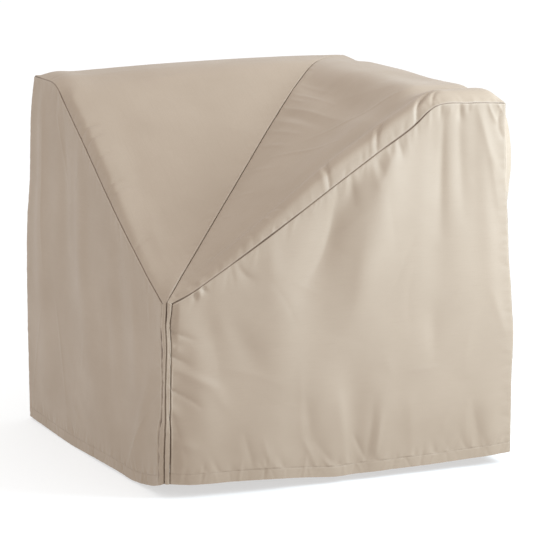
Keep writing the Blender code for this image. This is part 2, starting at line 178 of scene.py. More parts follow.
# Folds of the side walls: start and end are (run, height), height is how far the fold stands out.
RIGHT_FOLDS = from_mm(
    Fold,
    ((572, 800), (425, 340), 40, 70, 14),
    ((470, 740), (335, 460), 26, 48, -11),
    ((672, 850), (662, 300), 18, 50, -4),
    ((785, 850), (810, 300), 14, 35, 3),
    ((265, 480), (275, 200), 50, 70, 7),
    ((85, 440), (110, 320), 25, 35, -4),
    ((230, 330), (220, -200), 120, 150, 14),
    ((75, 330), (95, -100), 35, 55, 8),
    ((300, 220), (318, -50), 45, 34, -3),
    ((375, 300), (412, -50), 45, 34, 4),
    ((445, 280), (462, -50), 40, 28, -4),
    ((510, 260), (510, -50), 45, 30, 3),
    ((790, 170), (795, -50), 40, 30, 4))
LEFT_FOLDS = from_mm(
    Fold,
    ((780, 840), (720, 120), 20, 60, 7),
    ((640, 800), (560, 300), 22, 50, -6),
    ((520, 700), (400, 150), 30, 60, 8),
    ((270, 560), (220, 100), 30, 60, -6),
    ((90, 250), (190, 0), 20, 30, 5))
BACK_LEFT_FOLDS = from_mm(
    Fold,
    ((160, 840), (200, 150), 30, 70, 8),
    ((420, 840), (400, 100), 40, 80, -7),
    ((660, 840), (640, 120), 30, 70, 8))
BACK_RIGHT_FOLDS = from_mm(Fold, ((21, 840), (21, 620), 30, 25, 34)) + BACK_LEFT_FOLDS

# Folds of the top panels: start and end are (run, inset), inset being the distance from the seam.
RIGHT_TOP_FOLDS = from_mm(
    Fold,
    ((700, 115), (140, 70), 55, 30, -14),
    ((600, 560), (600, 80), 34, 50, -16),
    ((690, 40), (80, 36), 26, 20, 9),
    ((640, 300), (280, 130), 120, 60, -20))
LEFT_TOP_FOLDS = from_mm(
    Fold,
    ((560, 110), (230, 70), 40, 30, -6),
    ((480, 240), (300, 160), 60, 40, 3))

# ---- creases, one row for each

# Start and end are places on the panel, width is the half width at each end, and rise is how far
# the crease stands out. Sharp is 2 for a soft fold and near 1 for a crease. Lean widens the flank on
# the left of its way and narrows the other, and bow is how far it curves to the left on its way.
Crease = namedtuple("Crease", "start end width_start width_end rise sharp lean bow",
                    defaults=(0.0, 0.0))
CREASE_START = 0.10      # share of half a wave at which a crease starts and ends

RIGHT_WALL_CREASES = from_mm(   # places are (run, height)
    Crease,
    ((690, 850), (676, 560), 8, 16, -3, 1.8),
    ((728, 850), (735, 600), 10, 20, -2.8, 1.8),
    ((775, 850), (826, 600), 10, 16, 3, 1.6, 0.2, 8),
    ((838, 848), (845, 770), 6, 8, -2.2, 1.5, 0, -12),
    ((560, 760), (514, 670), 14, 22, 3.2, 1.8, 0.3),
    ((412, 650), (346, 480), 12, 24, -5, 1.6, 0.3, 12),
    ((480, 560), (452, 400), 30, 30, 3.2, 2, 0.2),
    ((34, 455), (34, 350), 15, 16, 8, 1.8, 0.5),
    ((-4, 389), (66, 358), 3, 8, -3.6, 1.2, 0.2, 4),
    ((4, 368), (40, 330), 10, 10, 3.4, 1.6),
    ((-4, 336), (54, 303), 3, 8, -3.6, 1.2, 0.2, 4),
    ((10, 310), (120, 246), 10, 14, 3.4, 1.8, 0, -4),
    ((-4, 262), (76, 207), 3, 9, -4, 1.2, 0.2, 4),
    ((4, 232), (40, 180), 11, 12, 3.4, 1.7),
    ((38, 175), (46, 30), 18, 18, 8, 1.8, 0.3),
    ((25, 190), (50, 84), 6, 9, -2, 1.4),
    ((30, 130), (70, 110), 12, 14, 2.4, 1.7),
    ((150, 400), (215, 280), 26, 30, -3.5, 2),
    ((244, 590), (250, 470), 22, 24, 2.8, 1.9),
    ((100, 250), (150, 190), 16, 18, 1.6, 1.8),
    ((180, 136), (201, 58), 12, 9, -2.4, 1.5),
    ((224, 120), (244, 50), 10, 8, 1.8, 1.5),
    ((326, 110), (354, 50), 7, 10, 1.8, 1.5),
    ((330, 210), (346, 110), 18, 14, -2.2, 1.8),
    ((352, 106), (416, 34), 11, 9, -1.6, 1.6, 0, -4),
    ((408, 226), (433, 66), 20, 16, 2.8, 1.8),
    ((502, 188), (484, 48), 16, 9, -3, 1.7, 0, 3),
    ((452, 108), (482, 46), 6, 8, -2.2, 1.4, 0.2),
    ((520, 150), (506, 50), 10, 8, 2, 1.5),
    ((590, 200), (600, 50), 20, 14, 1.6, 1.8),
    ((650, 390), (650, 270), 20, 20, -2.4, 1.8),
    ((585, 246), (668, 250), 5, 5, 0.7, 1.3),
    ((750, 160), (773, 42), 20, 12, -3.4, 1.6),
    ((794, 52), (844, 104), 8, 13, 2.4, 1.5),
    ((812, 740), (824, 700), 10, 10, 1.8, 1.6),
    ((800, 420), (832, 300), 12, 14, 1.6, 1.7))
LEFT_WALL_CREASES = from_mm(
    Crease,
    ((765, 770), (721, 397), 4, 6, 1.4, 1.2, 0, 4),
    ((690, 820), (586, 610), 4, 7, 1.6, 1.2, 0, 6),
    ((650, 340), (583, 95), 4, 6, 1.4, 1.2, 0, -4),
    ((731, 300), (823, 50), 4, 6, 1.3, 1.2, 0, 6),
    ((40, 235), (212, 12), 6, 7, 2.2, 1.3, 0, 10),
    ((30, 250), (120, 140), 7, 8, -1.4, 1.4, 0, 4),
    ((96, 480), (85, 370), 8, 6, 1.2, 1.4),
    ((545, 46), (532, 22), 4, 5, -1.8, 1.3),
    ((500, 54), (520, 22), 5, 5, 1.5, 1.3),
    ((330, 420), (300, 160), 20, 30, -2.6, 2),
    ((180, 470), (150, 220), 18, 30, 2.6, 2),
    ((450, 600), (430, 300), 25, 35, -2.6, 2))

RIGHT_GATHERS = from_mm(        # places are (run, distance below the top seam)
    Crease,
    ((62, 2), (69, 26), 3.4, 4, -4.6, 1.2, 0.2),
    ((70, 0), (79, 26), 3.8, 5, 3.6, 1.3),
    ((79, 0), (94, 24), 3.2, 4, -4.2, 1.2, 0.2),
    ((150, 0), (158, 50), 4, 10, -1.8, 1.4, 0.3),
    ((166, 10), (208, 76), 6, 10, -3, 1.4, 0.3, 4),
    ((414, 0), (420, 46), 7, 9, -2, 1.6),
    ((437, 0), (440, 46), 6, 10, 1.4, 1.6),
    ((450, 0), (459, 85), 6, 18, -2.2, 1.7, 0.3),
    ((512, 0), (532, 65), 6, 14, -1.8, 1.6, 0.3),
    ((500, 0), (519, 90), 7, 14, 1.8, 1.7),
    ((572, 0), (581, 50), 4, 9, -2.2, 1.4, 0.3),
    ((590, 0), (600, 60), 5, 10, 1, 1.5),
    ((650, 0), (652, 40), 6, 9, 1.8, 1.5),
    ((682, 0), (681, 36), 4, 7, -2.4, 1.4),
    ((706, 0), (704, 32), 6, 8, 1.4, 1.6),
    ((731, 0), (733, 44), 5, 10, -2.8, 1.5),
    ((754, 0), (752, 24), 4, 6, -1.6, 1.5),
    ((803, 0), (828, 50), 3, 6, 2.2, 1.3, 0, 3),
    ((826, 0), (842, 24), 3, 4, 1.6, 1.3))
LEFT_GATHERS = from_mm(
    Crease,
    ((100, 0), (94, 40), 4, 8, -1.4, 1.4),
    ((262, 0), (250, 50), 5, 10, -1.4, 1.5),
    ((690, 0), (684, 60), 5, 9, -1.6, 1.4))

RIGHT_HEM_CREASES = from_mm(    # places are (run, distance above the hem's edge)
    Crease,
    ((36, -10), (41, 44), 3, 4, 1.8, 1.3),
    ((45, -10), (50, 40), 3, 4, -1.8, 1.3, 0.2),
    ((78, -10), (85, 46), 3, 4, -2, 1.3, 0.2),
    ((166, -10), (174, 48), 3, 5, 1.8, 1.3),
    ((227, -10), (233, 50), 3, 5, -2, 1.3, 0.2),
    ((324, -10), (333, 50), 3, 5, 1.8, 1.3),
    ((620, -10), (628, 40), 4, 5, -1.6, 1.3, 0.2))
LEFT_HEM_CREASES = from_mm(
    Crease,
    ((130, -10), (120, 40), 4, 5, 1.6, 1.3),
    ((410, -10), (400, 40), 4, 5, -1.6, 1.3, 0.2),
    ((640, -10), (650, 40), 4, 5, 1.6, 1.3))

RIGHT_STRIP_CREASES = from_mm(  # places are (height, distance from the strip's outer seam)
    Crease,
    ((392, -4), (386, 14), 3, 3, -1.6, 1.3),
    ((382, -4), (378, 10), 3, 3, 1.8, 1.3),
    ((322, -4), (336, 10), 3, 3, -1.6, 1.3),
    ((296, -4), (308, 8), 3, 3, -1.4, 1.3),
    ((262, -4), (266, 12), 3, 3, -1.2, 1.3),
    ((178, -4), (190, 8), 4, 3, -2, 1.3),
    ((104, 0), (94, 22), 3, 3, 1.4, 1.3),
    ((78, -4), (62, 20), 4, 3, -1.4, 1.3),
    ((48, -4), (52, 20), 3, 3, -1.2, 1.3))
LEFT_STRIP_CREASES = from_mm(
    Crease,
    ((400, -4), (384, 16), 3, 4, 1.4, 1.3),
    ((344, -2), (330, 24), 3, 3, -1.4, 1.3),
    ((268, 0), (262, 22), 3, 3, -1.8, 1.3),
    ((216, -4), (206, 14), 3, 3, 1.2, 1.3),
    ((160, -4), (172, 24), 3, 3, -2.2, 1.3),
    ((112, -2), (94, 24), 3, 3, 1.8, 1.3),
    ((98, -2), (80, 24), 3, 3, -1.8, 1.3),
    ((80, -2), (66, 22), 3, 3, 1.6, 1.3),
    ((58, -4), (50, 24), 3, 3, -1.4, 1.3))

RIGHT_SLOPE_CREASES = from_mm(  # places are (run, distance from the side seam)
    Crease,
    ((700, 420), (700, 140), 45, 45, 6.2, 2),
    ((556, 440), (520, 160), 55, 55, -7.2, 2),
    ((416, 62), (397.5, 0), 7, 5, -5.2, 1.25, -0.45, -6),
    ((398, 56), (384, 0), 10, 6, 1.8, 1.8, 0, -6),
    ((588, 56), (517, 0), 9, 5, -5.4, 1.25, -0.45, -10),
    ((562, 54), (503, 0), 8, 5, 1.6, 1.8, 0, -8),
    ((676, 48), (617, 0), 9, 5, -9, 1.4, 0.3, -7),
    ((692, 40), (660, 4), 4, 4, -3.4, 1.4, 0, -4),
    ((240, 40), (252, 18), 4, 5, 1.8, 1.4, 0, 3),
    ((262, 48), (284, 16), 5, 5, -1.2, 1.4, 0.3, 4),
    ((200, 30), (212, 12), 4, 5, -1.2, 1.5, 0, 2),
    ((120, 40), (190, 62), 5, 5, 1.6, 1.3, 0, 6),
    ((384, 306), (490, 155), 3, 4, 1.9, 1.1, 0, 6),
    ((470, 276), (665, 165), 3, 4, 2.4, 1.1, 0, 10),
    ((587, 572), (605, 430), 6, 8, 1.6, 1.4),
    ((552, 540), (583, 370), 4, 6, 2, 1.2),
    ((537, 524), (545, 460), 4, 4, 1.4, 1.3),
    ((507, 508), (556, 240), 4, 10, 2.4, 1.2),
    ((492, 490), (512, 300), 10, 16, -2.6, 1.8),
    ((470, 462), (500, 300), 8, 12, 1.8, 1.6),
    ((440, 430), (470, 310), 6, 8, 1.6, 1.4),
    ((400, 392), (430, 300), 5, 7, 1.4, 1.3),
    ((330, 322), (372, 250), 5, 7, 1.4, 1.3),
    ((262, 254), (306, 200), 5, 6, 1.2, 1.3),
    ((210, 202), (240, 160), 4, 5, 1, 1.3),
    ((30, 12), (58, 12), 4, 4, 2.6, 1.5),
    ((70, 10), (92, 10), 4, 4, 2, 1.5))
LEFT_SLOPE_CREASES = from_mm(
    Crease,
    ((530, 46), (523, 0), 6, 5, -3.6, 1.5, 0.2),
    ((495, 40), (486, 0), 6, 5, -3.4, 1.5, 0.2),
    ((440, 50), (425, 0), 6, 5, -2.2, 1.5),
    ((352, 46), (344, 0), 6, 5, -3.4, 1.5, 0.2),
    ((334, 64), (318, 0), 8, 6, -2.6, 1.5, 0.2),
    ((184, 40), (173, 0), 6, 5, -2.8, 1.5),
    ((300, 80), (120, 50), 20, 14, 2.4, 1.8))

# Short puckers that the sewing draws in along a panel's border: how far apart they are, how far they
# reach from the seam, how wide they are and how far they stand in or out.
Puckers = namedtuple("Puckers", "panels border spacing length width rise")

SEAM_PUCKERS = from_mm(
    Puckers,
    ("side", "last_column", 21, 14, 4.2, 0.7),
    ("side", "first_row", 15, 10, 3.6, 0.8),
    ("side", "last_row", 19, 11, 4, 0.7),
    ("top", "first_column", 19, 11, 4, 0.7),
    ("top", "last_column", 22, 12, 3.8, 0.6),
    ("top", "first_row", 22, 12, 4.2, 0.7),
    ("back", "last_column", 21, 14, 4.2, 0.7),
    ("back", "first_row", 20, 12, 4, 0.7),
    ("back", "last_row", 20, 12, 4, 0.7))

# The same for the ripples just above the hem's stitching and for the bars across the whole hem.
Ripples = namedtuple("Ripples", "spacing length width rise")
HEM_RIPPLES = Ripples(0.015, 0.017, 0.0050, 0.0013)
HEM_BARS = Ripples(0.022, HEM_DEPTH, 0.0030, 0.0007)
RIPPLE_START = 0.001     # how far below the stitching the ripples begin
RIPPLE_FULL = 0.004      # how far above it they are full
RIPPLE_POWER = 1.4       # how suddenly they end higher up
BAR_FADE = 0.004         # how far below it the bars fade
PUCKER_POWER = 1.5       # how suddenly a pucker ends away from its seam

# How unevenly they fall: the ranges of their widths, lengths, heights and gaps, as shares of the
# sizes above, the signs of their heights, how far they slant at most, and how fast they widen.
Scatter = namedtuple("Scatter", "widths lengths signs heights slant gaps flare")
PUCKER_SCATTER = Scatter((0.7, 1.4), (0.5, 1.8), (-1, -1, 1), (0.3, 1.4), 0.45, (0.35, 1.75), 0.15)
RIPPLE_SCATTER = Scatter((0.7, 1.5), (0.5, 1.9), (-1, 1), (0.2, 1.4), 0.50, (0.50, 1.60), 0.12)
BAR_SCATTER = Scatter((0.7, 1.6), None, (-1, -1, 1), (0.3, 1.4), 0.70, (0.40, 1.70), 0.0)
FIRST_PUCKER = (0.2, 0.8)                # where a seam's first pucker lies, as a share of their spacing

# Painted shadow where the cloth beside a seam overhangs it: the seam's line is darker and broader between
# two heights, and reach is half its breadth.
SeamShadow = namedtuple("SeamShadow", "panel border low high reach dark")
SEAM_SHADOWS = from_mm(
    SeamShadow,
    ("side_left", "first_row", 165, 390, 5.6, 1),
    ("top_left", "first_column", 165, 390, 4.8, 1),
    ("side_left", "first_row", 40, 152, 4.4, 0.95),
    ("top_left", "first_column", 40, 152, 3.6, 0.95),
    ("top_left", "last_column", 398, 452, 2.6, 1),
    ("top_right", "last_column", 398, 452, 2.6, 1),
    ("top_right", "first_column", 250, 385, 1.8, 0.95),
    ("top_right", "first_column", 70, 190, 2.2, 1),
    ("side_right", "first_row", 70, 190, 1.8, 1),
    ("side_right", "last_column", 530, 640, 2.4, 1),
    ("top_right", "first_column", 530, 640, 2, 1),
    ("side_right", "last_column", 770, 850, 2.4, 1),
    ("top_right", "first_column", 770, 850, 2, 1))

# Where the cloth beside a seam stands up in a narrow rim and is painted lighter: rubbed, and a painted
# highlight.
SeamRim = namedtuple("SeamRim", "panel border low high away width rise")
SEAM_RIMS = from_mm(
    SeamRim,
    ("side_left", "first_row", 76, 330, 8.8, 2.6, 2),
    ("top_left", "first_column", 60, 440, 6, 1.6, 0.8),
    ("top_left", "last_column", 60, 440, 3, 1.4, 0.9),
    ("top_right", "last_column", 60, 440, 3, 1.4, 0.7),
    ("top_right", "first_column", 60, 386, 3, 1.4, 1.2),
    ("side_right", "first_row", 60, 300, 3.2, 1.6, 1),
    ("side_right", "last_column", 440, 480, 3.2, 1.8, 1.8),
    ("side_left", "last_column", 470, 840, 3, 1.6, 0.8),
    ("top_left", "last_column", 470, 860, 3, 1.6, 1))

FAINT_CREASES = 34       # soft wrinkles without a plan, on each panel
FAINT_TURN = 0.7         # how far they turn from upright
FAINT_LENGTHS = (0.05, 0.20)
FAINT_WIDTHS = (0.006, 0.020)
FAINT_RISES = (0.02, 0.06)               # as shares of their widths
FAINT_TAPER = 0.7        # width of their start, as a share of their end's
FAINT_BOW = 0.1          # how far they curve, as a share of their length
FAINT_SHARP = 1.6

# How far the three seams down the open corner wander aside on their way to the hem, towards the
# right wall: the seam of the left strip, the middle one and that of the right strip.
Wander = namedtuple("Wander", "height left middle right")
CORNER_WANDER = from_mm(
    Wander,
    (20, -5.5, -7.2, -9.6), (90, -4.8, -6.4, -10),
    (157, -3.6, -5, -10.4), (176, 1, -4.4, -11.8),
    (253, 4, -5.2, -11), (348, 0, -3.6, -11.3),
    (397, -2.6, -6.6, -13.7), (425, -2, -5.2, -11),
    (446, -1.6, -4.8, -9.2))
WANDER_LEFT = -0.0156    # where the strips' outer seams lie, from the corner's own line
WANDER_RIGHT = 0.0136
WANDER_REACH = 0.026     # how far over the walls the wandering fades
WANDER_TOP = 0.445       # height above which it fades on the slopes
WANDER_END = 0.485

# ---- curves

def through(rows, at):
    """Values of a smooth curve through a table's rows, which never overshoots them."""
    place, value = np.array(rows, dtype=float).T
    step = np.diff(place)
    slope = np.diff(value) / step
    tangent = np.concatenate(([slope[0]], (slope[:-1] + slope[1:]) / 2, [slope[-1]]))
    turns = slope[:-1] * slope[1:] <= 0
    tangent[1:-1][turns] = 0.0
    at = np.clip(at, place[0], place[-1])
    cell = np.clip(np.searchsorted(place, at, side="right") - 1, 0, len(step) - 1)
    t = (at - place[cell]) / step[cell]
    return (value[cell] * (1 + 2 * t) * (1 - t) ** 2 + value[cell + 1] * t * t * (3 - 2 * t)
            + step[cell] * (tangent[cell] * t * (1 - t) ** 2 + tangent[cell + 1] * t * t * (t - 1)))


def ease(value, low, high):
    """A smooth step from 0 at low to 1 at high."""
    t = np.clip((value - low) / (high - low), 0.0, 1.0)
    return t * t * (3 - 2 * t)


def rise(distance, reach):
    """0 on an edge, 1 well inside it."""
    return 1 - np.exp(-(distance / reach) ** 2)


def creases(table, a, b, start=CREASE_START):
    """Sum of the creases of a table, at places (a, b) of a panel. Each one rises and falls along its
    way as half a wave does, from the share start of it."""
    total = np.zeros(np.broadcast(a, b).shape)
    for crease in table:
        da, db = crease.end[0] - crease.start[0], crease.end[1] - crease.start[1]
        length = math.hypot(da, db)
        along = ((a - crease.start[0]) * da + (b - crease.start[1]) * db) / length ** 2
        inside = np.clip(along, 0.0, 1.0)
        beside = ((b - crease.start[1]) * da - (a - crease.start[0]) * db) / length
        beside = beside - crease.bow * 4 * inside * (1 - inside)
        width = crease.width_start + (crease.width_end - crease.width_start) * inside
        flank = width * (1 + crease.lean * np.sign(beside))
        beyond = (along - inside) * length
        away = np.sqrt((beside / flank) ** 2 + (beyond / width) ** 2)
        fade = np.sin(math.pi * (start + (1 - 2 * start) * inside))
        total += crease.rise * fade * np.exp(-away ** crease.sharp)
    return total


def folds(table, a, b):
    """Sum of the soft ridges and troughs of a table, at places (a, b) of a panel."""
    return creases([Crease(*fold, sharp=2.0) for fold in table], a, b, FOLD_START)


def scattered(kind, scatter, random, place, end):
    """Place, width, length, height and slant of each pucker, one after another along a border."""
    while place < end:
        width = kind.width * random.uniform(*scatter.widths)
        length = kind.length * (random.uniform(*scatter.lengths) if scatter.lengths else 1.0)
        height = kind.rise * random.choice(scatter.signs) * random.uniform(*scatter.heights)
        slant = random.uniform(-scatter.slant, scatter.slant)
        yield place, width, length, height, slant
        place += kind.spacing * random.uniform(*scatter.gaps)


def puckers(kind, seed, along, away):
    """Sum of the puckers along one border, from the distances along it and away from it."""
    random = np.random.default_rng(seed)
    total = np.zeros(along.shape)
    first = kind.spacing * random.uniform(*FIRST_PUCKER)
    rows = scattered(kind, PUCKER_SCATTER, random, first, along.max())
    for place, width, length, height, slant in rows:
        beside = (along - place - slant * away) / (width + PUCKER_SCATTER.flare * away)
        share = away / length
        total += height * np.exp(-beside ** 2) * share * np.exp(1 - share ** PUCKER_POWER)
    return total


def hem_relief(seed, along, away):
    """Ripples just above the hem's stitching and bars across the doubled cloth."""
    random = np.random.default_rng(seed)
    total = np.zeros(along.shape)
    above = ease(away, HEM_DEPTH - RIPPLE_START, HEM_DEPTH + RIPPLE_FULL)
    up = np.maximum(away - HEM_DEPTH, 0.0)
    rows = scattered(HEM_RIPPLES, RIPPLE_SCATTER, random, 0.0, along.max())
    for place, width, length, height, slant in rows:
        beside = (along - place - slant * up) / (width + RIPPLE_SCATTER.flare * up)
        total += above * height * np.exp(-beside ** 2) * np.exp(-(up / length) ** RIPPLE_POWER)
    band = 1 - ease(away, HEM_DEPTH - BAR_FADE, HEM_DEPTH)
    rows = scattered(HEM_BARS, BAR_SCATTER, random, 0.0, along.max())
    for place, width, _, height, slant in rows:
        total += band * height * np.exp(-((along - place - slant * away) / width) ** 2)
    return total


def faint_creases(seed, a, b):
    """Soft wrinkles without a plan, so that no stretch of cloth is perfectly smooth."""
    random = np.random.default_rng(seed)
    low = np.array((a.min(), b.min()))
    size = np.array((a.max(), b.max())) - low
    rows = []
    for _ in range(FAINT_CREASES):
        start = low + size * random.uniform(0.0, 1.0, 2)
        angle = random.normal(math.pi / 2, FAINT_TURN)
        length = random.uniform(*FAINT_LENGTHS)
        end = start + length * np.array((math.cos(angle), math.sin(angle)))
        width = random.uniform(*FAINT_WIDTHS)
        height = random.choice((-1.0, 1.0)) * random.uniform(*FAINT_RISES) * width
        bow = random.uniform(-FAINT_BOW, FAINT_BOW) * length
        rows.append(Crease(tuple(start), tuple(end), width * FAINT_TAPER, width, height,
                           FAINT_SHARP, bow=bow))
    return creases(rows, a, b)


def stations(cells, reach, crowd):
    """Shares from 0 to 1, crowd + 1 times as close together at both ends as in the middle."""
    fine = np.linspace(0.0, 1.0, FINE_STEPS + 1)
    density = 1 + crowd * (np.exp(-fine / reach) + np.exp(-(1 - fine) / reach))
    share = np.concatenate(([0.0], np.cumsum((density[1:] + density[:-1]) / 2)))
    return np.interp(np.linspace(0.0, 1.0, cells + 1), share / share[-1], fine)


# ---- stations shared by the panels

RHO = stations(RUN_CELLS, reach=0.008, crowd=5.0)          # along a run, 0 at corner A
LEVEL = stations(LEVEL_CELLS - HEM_CELLS, reach=0.010, crowd=4.0)    # up a wall, 0 above the hem
EVEN = np.linspace(0.0, 1.0, ACROSS_CELLS + 1)             # across a strip, 0 at its side seam
CROWDED = stations(ACROSS_CELLS, reach=0.030, crowd=5.0)   # across a ridge, closer at the seams

Side = namedtuple(
    "Side", "strip roll seam crest ridge hem spread wall_folds top_folds back_hem back_folds")
RIGHT = Side(STRIP_RIGHT, ROLL_RIGHT, RIGHT_SEAM, RIGHT_CREST, RIGHT_RIDGE, RIGHT_HEM, RIGHT_SPREAD,
             RIGHT_FOLDS, RIGHT_TOP_FOLDS, BACK_RIGHT_HEM, BACK_RIGHT_FOLDS)
LEFT = Side(STRIP_LEFT, ROLL_LEFT, LEFT_SEAM, LEFT_CREST, LEFT_RIDGE, LEFT_HEM, LEFT_SPREAD,
            LEFT_FOLDS, LEFT_TOP_FOLDS, BACK_LEFT_HEM, BACK_LEFT_FOLDS)


def levels(low, top):
    """Heights of a wall's rows: evenly close together in the hem, then up to the seam."""
    hem = low + HEM_BAND * np.arange(HEM_CELLS) / HEM_CELLS
    return np.concatenate((hem, low + HEM_BAND + (top - low - HEM_BAND) * LEVEL), axis=-1)


def opened(share, height, near, far):
    """Where a wall's cloth lies at a share of its length: how far along it moves and how far out,
    from how far its two corners have opened."""
    corners = near * (1 - share) ** 2 + far * share ** 2
    middle = WALL_SPREAD * (1 - ease(height, WALL_FULL, WALL_FLAT))
    out = corners + (middle - corners / 2) * np.sin(math.pi * share) ** WALL_POWER
    return far * share ** 3 - near * (1 - share) ** 3, out


def wall(side, run, height):
    """Run and outward distance of a side wall's cloth, in the wall's own directions."""
    along, out = opened(run / WIDTH, height, through(OPEN_SPREAD, height),
                        through(side.spread, height))
    return run + along, out


def side_wall(side):
    """Columns along the run and rows up from the hem: run, outward distance and height."""
    run = (side.strip + (WIDTH - side.strip) * RHO)[:, None]
    top = through(side.seam, run)
    hem = through(side.hem, run)
    height = levels(hem, top)
    moved, out = wall(side, run, height)
    inside = rise(top - height, EDGE_REACH) * rise(run - side.strip, EDGE_REACH)
    inside = inside * rise(WIDTH - run, EDGE_REACH)
    return moved, out + inside * folds(side.wall_folds, run, height), height, run


def middle_seam():
    """The seam between the top panels, from C over the ridge and down the valley to A."""
    run = CORNER_ROUND + (WIDTH - CORNER_ROUND) * RHO
    drop = REAR_DROP * np.exp(-((WIDTH - run) / REAR_ROLL) ** REAR_POWER)
    return run, through(VALLEY, run) - drop


def top_panel(side):
    """Ridge and slope of a top panel: rows along the run, columns from its side seam to the middle
    seam. Gives run, inset from the side wall's plane, height and distance from the side seam."""
    seam_run = side.strip + (WIDTH - side.strip) * RHO
    middle_run, middle_height = middle_seam()
    seam_height = through(side.seam, seam_run)
    seam_place, seam_out = wall(side, seam_run, seam_height)
    reach = (middle_run + seam_out)[:, None]
    cross = EVEN + (CROWDED - EVEN) * ease(reach, NARROW, BROAD)
    run = seam_place[:, None] + (middle_run - seam_place)[:, None] * cross
    from_seam = reach * cross
    inset = from_seam - seam_out[:, None]
    crest = through(side.crest, seam_run)[:, None]
    ridge = ease(run, RIDGE_START, RIDGE_FULL) * through(side.ridge, from_seam)
    drop = REAR_DROP * np.exp(-((WIDTH - run) / REAR_ROLL) ** REAR_POWER)
    valley = through(VALLEY, middle_run)[:, None]
    across = ease(from_seam, 0.0, np.maximum(reach, LEAST_FALL))
    surface = crest + (valley - crest) * across + ridge * (1 - cross ** RIDGE_END) - drop
    roll = side.roll + (ROLL_RIDGE - side.roll) * ease(seam_run, RIDGE_START, RIDGE_FULL)[:, None]
    rolled = np.exp(-(from_seam / roll) ** ROLL_POWER)
    at_middle = np.exp(-(reach / roll) ** ROLL_POWER)
    rolled = (rolled - at_middle) / (1 - at_middle)
    height = surface - (surface[:, :1] - seam_height[:, None]) * rolled
    inside = rise(from_seam, EDGE_REACH) * rise(reach - from_seam, EDGE_REACH)
    inside = inside * rise(WIDTH - run, EDGE_REACH)
    height = height + inside * folds(side.top_folds, run, from_seam)
    height[:, -1] = middle_height
    return run, inset, height, from_seam


def strip(side, other):
    """The strip down corner A, from just under the slope to the hem: rows down, columns from the
    side seam to the middle seam."""
    seam_height = levels(through(side.hem, side.strip), through(side.seam, side.strip))[::-1][1:]
    moved, out = wall(side, np.full_like(seam_height, side.strip), seam_height)
    low = (through(side.hem, 0.0) + through(other.hem, 0.0)) / 2
    middle_height = levels(low, VALLEY[0].height)[::-1][1:]
    middle = CORNER_ROUND - through(OPEN_SPREAD, middle_height)
    crown = STRIP_CROWN * np.sin(math.pi * EVEN)[None, :]
    run = moved[:, None] + (middle - moved)[:, None] * EVEN - crown
    inset = -out[:, None] + (middle + out)[:, None] * EVEN - crown
    height = seam_height[:, None] + (middle_height - seam_height)[:, None] * EVEN
    return run, inset, height


def back_wall(side, top_edge):
    """A back wall: columns from its side wall to C, rows up from the hem. The inset runs along the
    wall from the side wall's plane, and the outward distance is measured from the rear plane."""
    inset, edge_height = (values[:, None] for values in top_edge)
    share = np.clip(inset / WIDTH, 0.0, 1.0)
    low = through(side.back_hem, share * WIDTH)
    height = levels(low, edge_height)
    along, out = opened(share, height, through(side.spread, height), through(REAR_SPREAD, height))
    inside = rise(edge_height - height, EDGE_REACH) * rise(inset, CORNER_REACH)
    inside = inside * rise(WIDTH - inset, EDGE_REACH)
    return inset + along, out + inside * folds(side.back_folds, inset, height), height, inset


# ---- panels in space

# A panel: its outer surface as a grid of points, and the two flat coordinates of its creases: run
# and height on a wall, run and distance from the side seam on a slope, and height - 1 and that
# distance on a strip.
Panel = namedtuple("Panel", "grid a b")


def stack(x, y, z):
    return np.stack(np.broadcast_arrays(x, y, z), axis=-1)


def wander(grid):
    """The grid with the seams of the open corner moved aside as CORNER_WANDER says."""
    across = ((grid[..., 0] + HALF) - (grid[..., 1] + HALF)) / math.sqrt(2)
    height = grid[..., 2]
    left, middle, right = (through([(row.height, getattr(row, seam)) for row in CORNER_WANDER], height)
                           for seam in ("left", "middle", "right"))
    to_left = np.clip(across / WANDER_LEFT, 0.0, 1.0)
    to_right = np.clip(across / WANDER_RIGHT, 0.0, 1.0)
    aside = middle + (left - middle) * to_left + (right - middle) * to_right
    beyond = np.maximum(across - WANDER_RIGHT, 0.0) + np.maximum(WANDER_LEFT - across, 0.0)
    aside = aside * np.exp(-(beyond / WANDER_REACH) ** 2)
    aside = aside * (1 - ease(height, WANDER_TOP, WANDER_END))
    return grid + aside[..., None] * np.array((1.0, -1.0, 0.0)) / math.sqrt(2)


def base_panels():
    panels = {}
    for name, side, other in (("right", RIGHT, LEFT), ("left", LEFT, RIGHT)):
        moved, out, height, run = side_wall(side)
        walled = Panel(stack(moved - HALF, -HALF - out, height), run + 0 * height, height)
        run, inset, height, from_seam = top_panel(side)
        edge = inset[-1], height[-1]
        lower = strip(side, other)
        parts = [np.concatenate((upper[::-1], low))
                 for upper, low in zip((run, inset, height), lower)]
        strip_across = np.broadcast_to(EVEN * side.strip, lower[2].shape)
        a = np.concatenate((run[::-1], lower[2] - 1))
        b = np.concatenate((from_seam[::-1], strip_across))
        topped = Panel(stack(parts[0] - HALF, parts[1] - HALF, parts[2]), a, b)
        moved, out, height, inset = back_wall(side, edge)
        backed = Panel(stack(HALF + out, moved - HALF, height), inset + 0 * height, height)
        for kind, panel in (("side", walled), ("top", topped), ("back", backed)):
            grid = panel.grid if name == "right" else panel.grid[..., [1, 0, 2]]
            if kind != "back":
                grid = wander(grid)
            panels[f"{kind}_{name}"] = panel._replace(grid=np.ascontiguousarray(grid))
    return panels


# Roughly the way out from each panel.
AWAY = {"side_right": (0, -1, 0), "side_left": (-1, 0, 0), "top_right": (-0.3, -0.1, 1),
        "top_left": (-0.1, -0.3, 1), "back_right": (1, 0, 0), "back_left": (0, 1, 0)}


def unit(vectors):
    return vectors / np.maximum(np.linalg.norm(vectors, axis=-1, keepdims=True), 1e-12)


